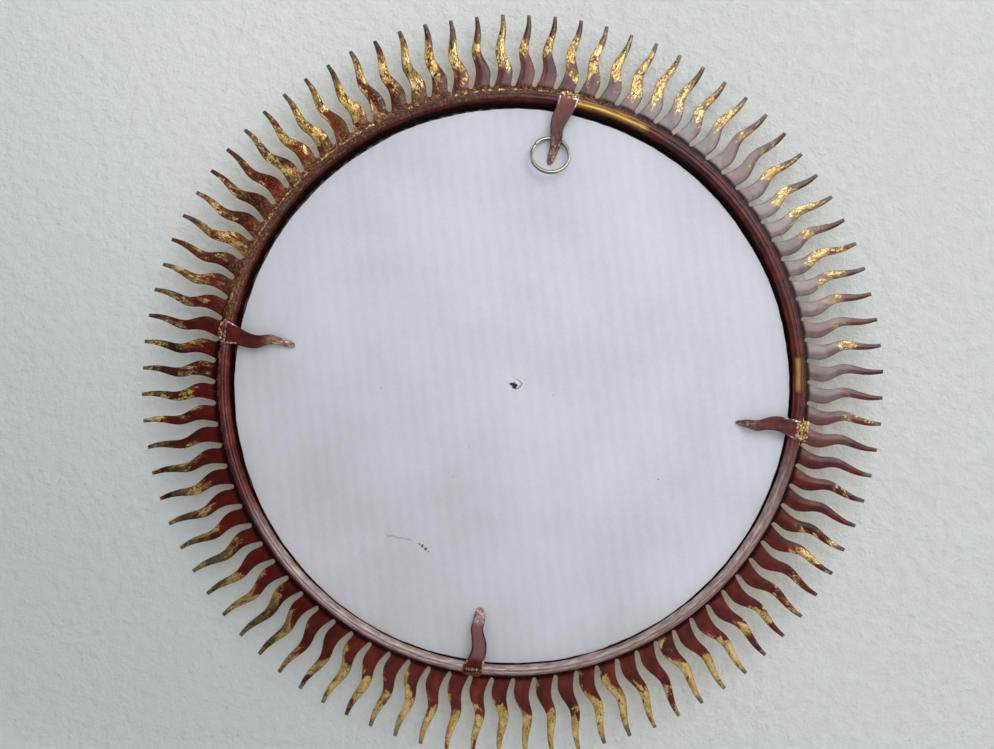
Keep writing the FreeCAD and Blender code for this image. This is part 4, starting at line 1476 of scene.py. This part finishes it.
# %% [markdown]
# ## Ring, wire, glass and moulding
#
# The ring is nickelled steel gone yellow-green, with painted highlights along its two turns and painted
# shade in the groove between them. The glass is a mirror, so it's all reflection. The moulding on the
# front carries leaf that is hardly worn, and its back faces are painted near black as shade. The board's
# inside is brown, with painted shade where the nail went through it and along its edge under the rim.

# %% Other finishes
# how far in from the ring's edge its painted highlights and groove shade run
RING_TURN = 1.8 * MM


def plain_metal(name, dark, light, metallic, roughness, scale):
    material, place = new_material(name)
    wear = noise(place, scale, 5.0, 0.65)
    return finished(material, ramp(wear, {0.35: dark, 0.65: light}),
                    roughness=wear * 0.2 + (roughness - 0.1), metallic=metallic, bump=(wear, 0.2, 0.0002))


def ring_material():
    material, place = new_material("ring_steel")
    low, high = (Vector(corner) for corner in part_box("split_ring"))
    away = distance(place, (low + high) / 2)
    out = (away - (half_width("split_ring") - RING_TURN)) / RING_TURN
    # Painted highlights along the two turns, and painted shade in the groove between them.
    highlights_and_groove_shade = ramp(out, {0.05: (90, 93, 82), 0.24: (172, 176, 162), 0.44: (58, 60, 51), 0.6: (62, 64, 54),
                       0.8: (168, 172, 156), 0.98: (80, 83, 72)})
    wear = noise(place, 500.0, 4.0)
    colour = mixed(between(wear, 0.5, 0.7) * 0.35, highlights_and_groove_shade, RING_GRIME)
    return finished(material, colour, roughness=wear * 0.2 + 0.26, metallic=0.75)


def board_material(name):
    material, place = new_material(name)
    fibres = noise(place, 250.0, 5.0, 0.65)
    colour = ramp(fibres, {0.35: (120, 92, 62), 0.65: (166, 134, 96)})
    # Painted shade: black in the fluting round the nail's hole, and along the board's edge in the gap under
    # the rim.
    away = distance(place, Vector((HOLE_PLACE.x, CARD_FRONT - 1.7 * MM, HOLE_PLACE.z)))
    disc = use_group(disc_place, Place=place)
    edge_gap_shade = between(disc["Radius"], CARD_RADIUS - 3.5 * MM, CARD_RADIUS - 2 * MM)
    colour = mixed(most(edge_gap_shade, between(away, 7 * MM, 5 * MM)), colour, HOLE_AND_GAP_SHADE)
    return finished(material, colour, roughness=0.85, bump=(fibres, 0.3, 0.0003))


def mirror_material():
    material, place = new_material("mirror_glass")
    haze = noise(place, 30.0, 3.0)
    return finished(material, ramp(haze, {0.3: (0.8, 0.83, 0.82, 1.0), 0.7: (0.86, 0.88, 0.87, 1.0)}),
                    roughness=haze * 0.02 + 0.01, metallic=1.0)


def moulding_material():
    material, place = new_material("gilding")
    colour, metal, height = use_group(gilded_bole, Place=place, Amount=0.93, Patch_scale=90.0,
                                      Crackle=0.45, Specks=0.1, Dirt=0.25).values()
    # Painted shade: the faces that look to the back are near black, and they carry no leaf.
    inside = between(facing_back(place), 0.1, 0.4)
    colour = mixed(inside, colour, MOULDING_BACK_SHADE)
    metal *= 1.0 - inside
    return finished(material, colour, roughness=0.32, metallic=metal * 0.7, bump=(height, 0.4, 0.0005))


board_finish = board_material("brown_board")
node_finishes = {
    "split_ring": ring_material(),
    "rim_wire": plain_metal("iron_wire", (70, 66, 62), (110, 104, 98), 0.8, 0.5, 300.0),
    "card_fluting": board_finish,
    "card_front_liner": board_finish,
    "mirror_glass": mirror_material(),
    "front_bezel": moulding_material(),
}
for node, material in node_finishes.items():
    dress(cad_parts[node], material)
print("finished nodes:", sorted(node_finishes))

# %% [markdown]
# ## Stage
#
# The mirror hangs face to a pale plaster wall that sweeps into a pale floor below it. Only the camera
# sees the wall, and only from its front, so that it neither hides the glass from the other side nor
# darkens what the glass reflects. The plaster has a fine relief, and painted light and shade make it
# brighter to the upper left and darker to the lower left.

# %% Stage
WALL_LEVEL = cad_box[0][1] - 1.0 * MM
FLOOR_LEVEL = cad_box[0][2] - 90.0 * MM
SWEEP = 60.0 * MM
SWEEP_STEPS = 12
WALL_TOP = 2.0
WALL_SIDE = 2.0
FLOOR_END = 2.4


def stage_material(name):
    material, place = new_material(name)
    plaster = noise(place, 130.0, 6.0, 0.62)
    pale = ramp(plaster, {0.3: (211, 215, 212), 0.7: (218, 222, 220)})
    # Painted light and shade: brighter to the upper left, darker to the lower left.
    upper_left = dot(place, (picture_up - picture_right).normalized())
    pale = mixed(between(upper_left, 0.05, 0.30), pale, WALL_BRIGHT)
    upper_right = dot(place, (picture_right + picture_up).normalized())
    pale = mixed(between(upper_right, 0.05, -0.32) * 0.75, pale, WALL_DIM)
    return finished(material, pale, roughness=0.9, bump=(plaster, 0.9, 0.0042))


def clear_from_behind(material):
    """Lets only the camera see a piece, and only from its front."""
    tree = material.node_tree
    looked_at = source(tree, "ShaderNodeLightPath", "Is Camera Ray")
    behind = source(tree, "ShaderNodeNewGeometry", "Backfacing")
    clear = source(tree, "ShaderNodeBsdfTransparent")
    solid = Value(tree.nodes["Principled BSDF"].outputs[0])
    both = put("ShaderNodeMixShader", i0=looked_at * (1.0 - behind), i1=clear, i2=solid)
    give(tree.nodes["Material Output"].inputs["Surface"], both)
    return material


def swept_stage():
    """A floor whose far edge is swept up into a wall, drawn as one line and stretched sideways."""
    turns = [pi / 2 * k / SWEEP_STEPS for k in range(SWEEP_STEPS + 1)]
    line = [(WALL_LEVEL, WALL_TOP)]
    line += [(WALL_LEVEL + SWEEP * (1 - cos(turn)), FLOOR_LEVEL + SWEEP * (1 - sin(turn)))
             for turn in turns]
    line += [(FLOOR_END, FLOOR_LEVEL)]
    mesh = bpy.data.meshes.new("stage")
    points = [(side, y, z) for y, z in line for side in (-WALL_SIDE, WALL_SIDE)]
    faces = [(2 * k, 2 * k + 1, 2 * k + 3, 2 * k + 2) for k in range(len(line) - 1)]
    mesh.from_pydata(points, [], faces)
    piece = bpy.data.objects.new("stage", mesh)
    bpy.context.collection.objects.link(piece)
    if mesh.polygons[0].normal.y < 0:
        mesh.flip_normals()
    for face in mesh.polygons:
        face.use_smooth = True
    return piece


stage = swept_stage()
dress(stage, clear_from_behind(stage_material("pale_wall")))
deselect_all()
bpy.ops.mesh.primitive_plane_add(size=8, location=(0, 0, FLOOR_LEVEL - 0.5 * MM))
floor = apply_place(named(bpy.context.object, "floor"))
dress(floor, stage_material("pale_floor"))
print("stage normals:", [round(part, 2) for part in stage.data.polygons[0].normal],
      [round(part, 2) for part in stage.data.polygons[-1].normal])

# %% [markdown]
# ## Light
#
# A large soft window at the upper right lights the back. A second lamp in the same place adds to its
# sheen alone, and the room's pale walls fill the shadows, brighter on the window's side. The front
# has a window of its own, hidden from reflections.

# %% Light
WINDOW_SIZE = (0.74, 0.66)
WINDOW_WATTS = 2.6
SHEEN_SIZE = (0.80, 0.72)
SHEEN_WATTS = 24.0
FRONT_WATTS = 9.0


def soft_window(name, place, size, power):
    """A soft lamp that faces the middle of the mirror."""
    lamp = bpy.data.lights.new(name, "AREA")
    lamp.shape = "RECTANGLE"
    lamp.size, lamp.size_y = size
    lamp.energy = power
    lamp_object = bpy.data.objects.new(name, lamp)
    bpy.context.collection.objects.link(lamp_object)
    lamp_object.location = place
    lamp_object.rotation_euler = (-place).to_track_quat("-Z", "Y").to_euler()
    return lamp_object


window_place = 0.31 * picture_right + 0.46 * picture_up + 0.78 * towards_camera
soft_window("window", window_place, WINDOW_SIZE, WINDOW_WATTS)
sheen = soft_window("window_sheen", window_place, SHEEN_SIZE, SHEEN_WATTS)
sheen.visible_diffuse = False
front_window = soft_window("front_window", Vector((0.5, -1.1, 0.7)), (1.0, 1.0), FRONT_WATTS)
front_window.visible_glossy = False

world = bpy.data.worlds.new("studio")
bpy.context.scene.world = world
world.use_nodes = True
background = world.node_tree.nodes["Background"]
towards_light = (0.55 * picture_right + 0.75 * picture_up).normalized()
lit_side = dot(source(world.node_tree, "ShaderNodeTexCoord", "Generated"), towards_light) * 0.5 + 0.5
room = ramp(lit_side, {0.15: (0.26, 0.27, 0.29, 1.0), 0.80: (0.90, 0.91, 0.93, 1.0)})
give(background.inputs["Color"], room)
give(background.inputs["Strength"], 1.0)
bpy.context.scene.view_settings.view_transform = "Standard"
print("light comes from", [round(part, 2) for part in window_place])
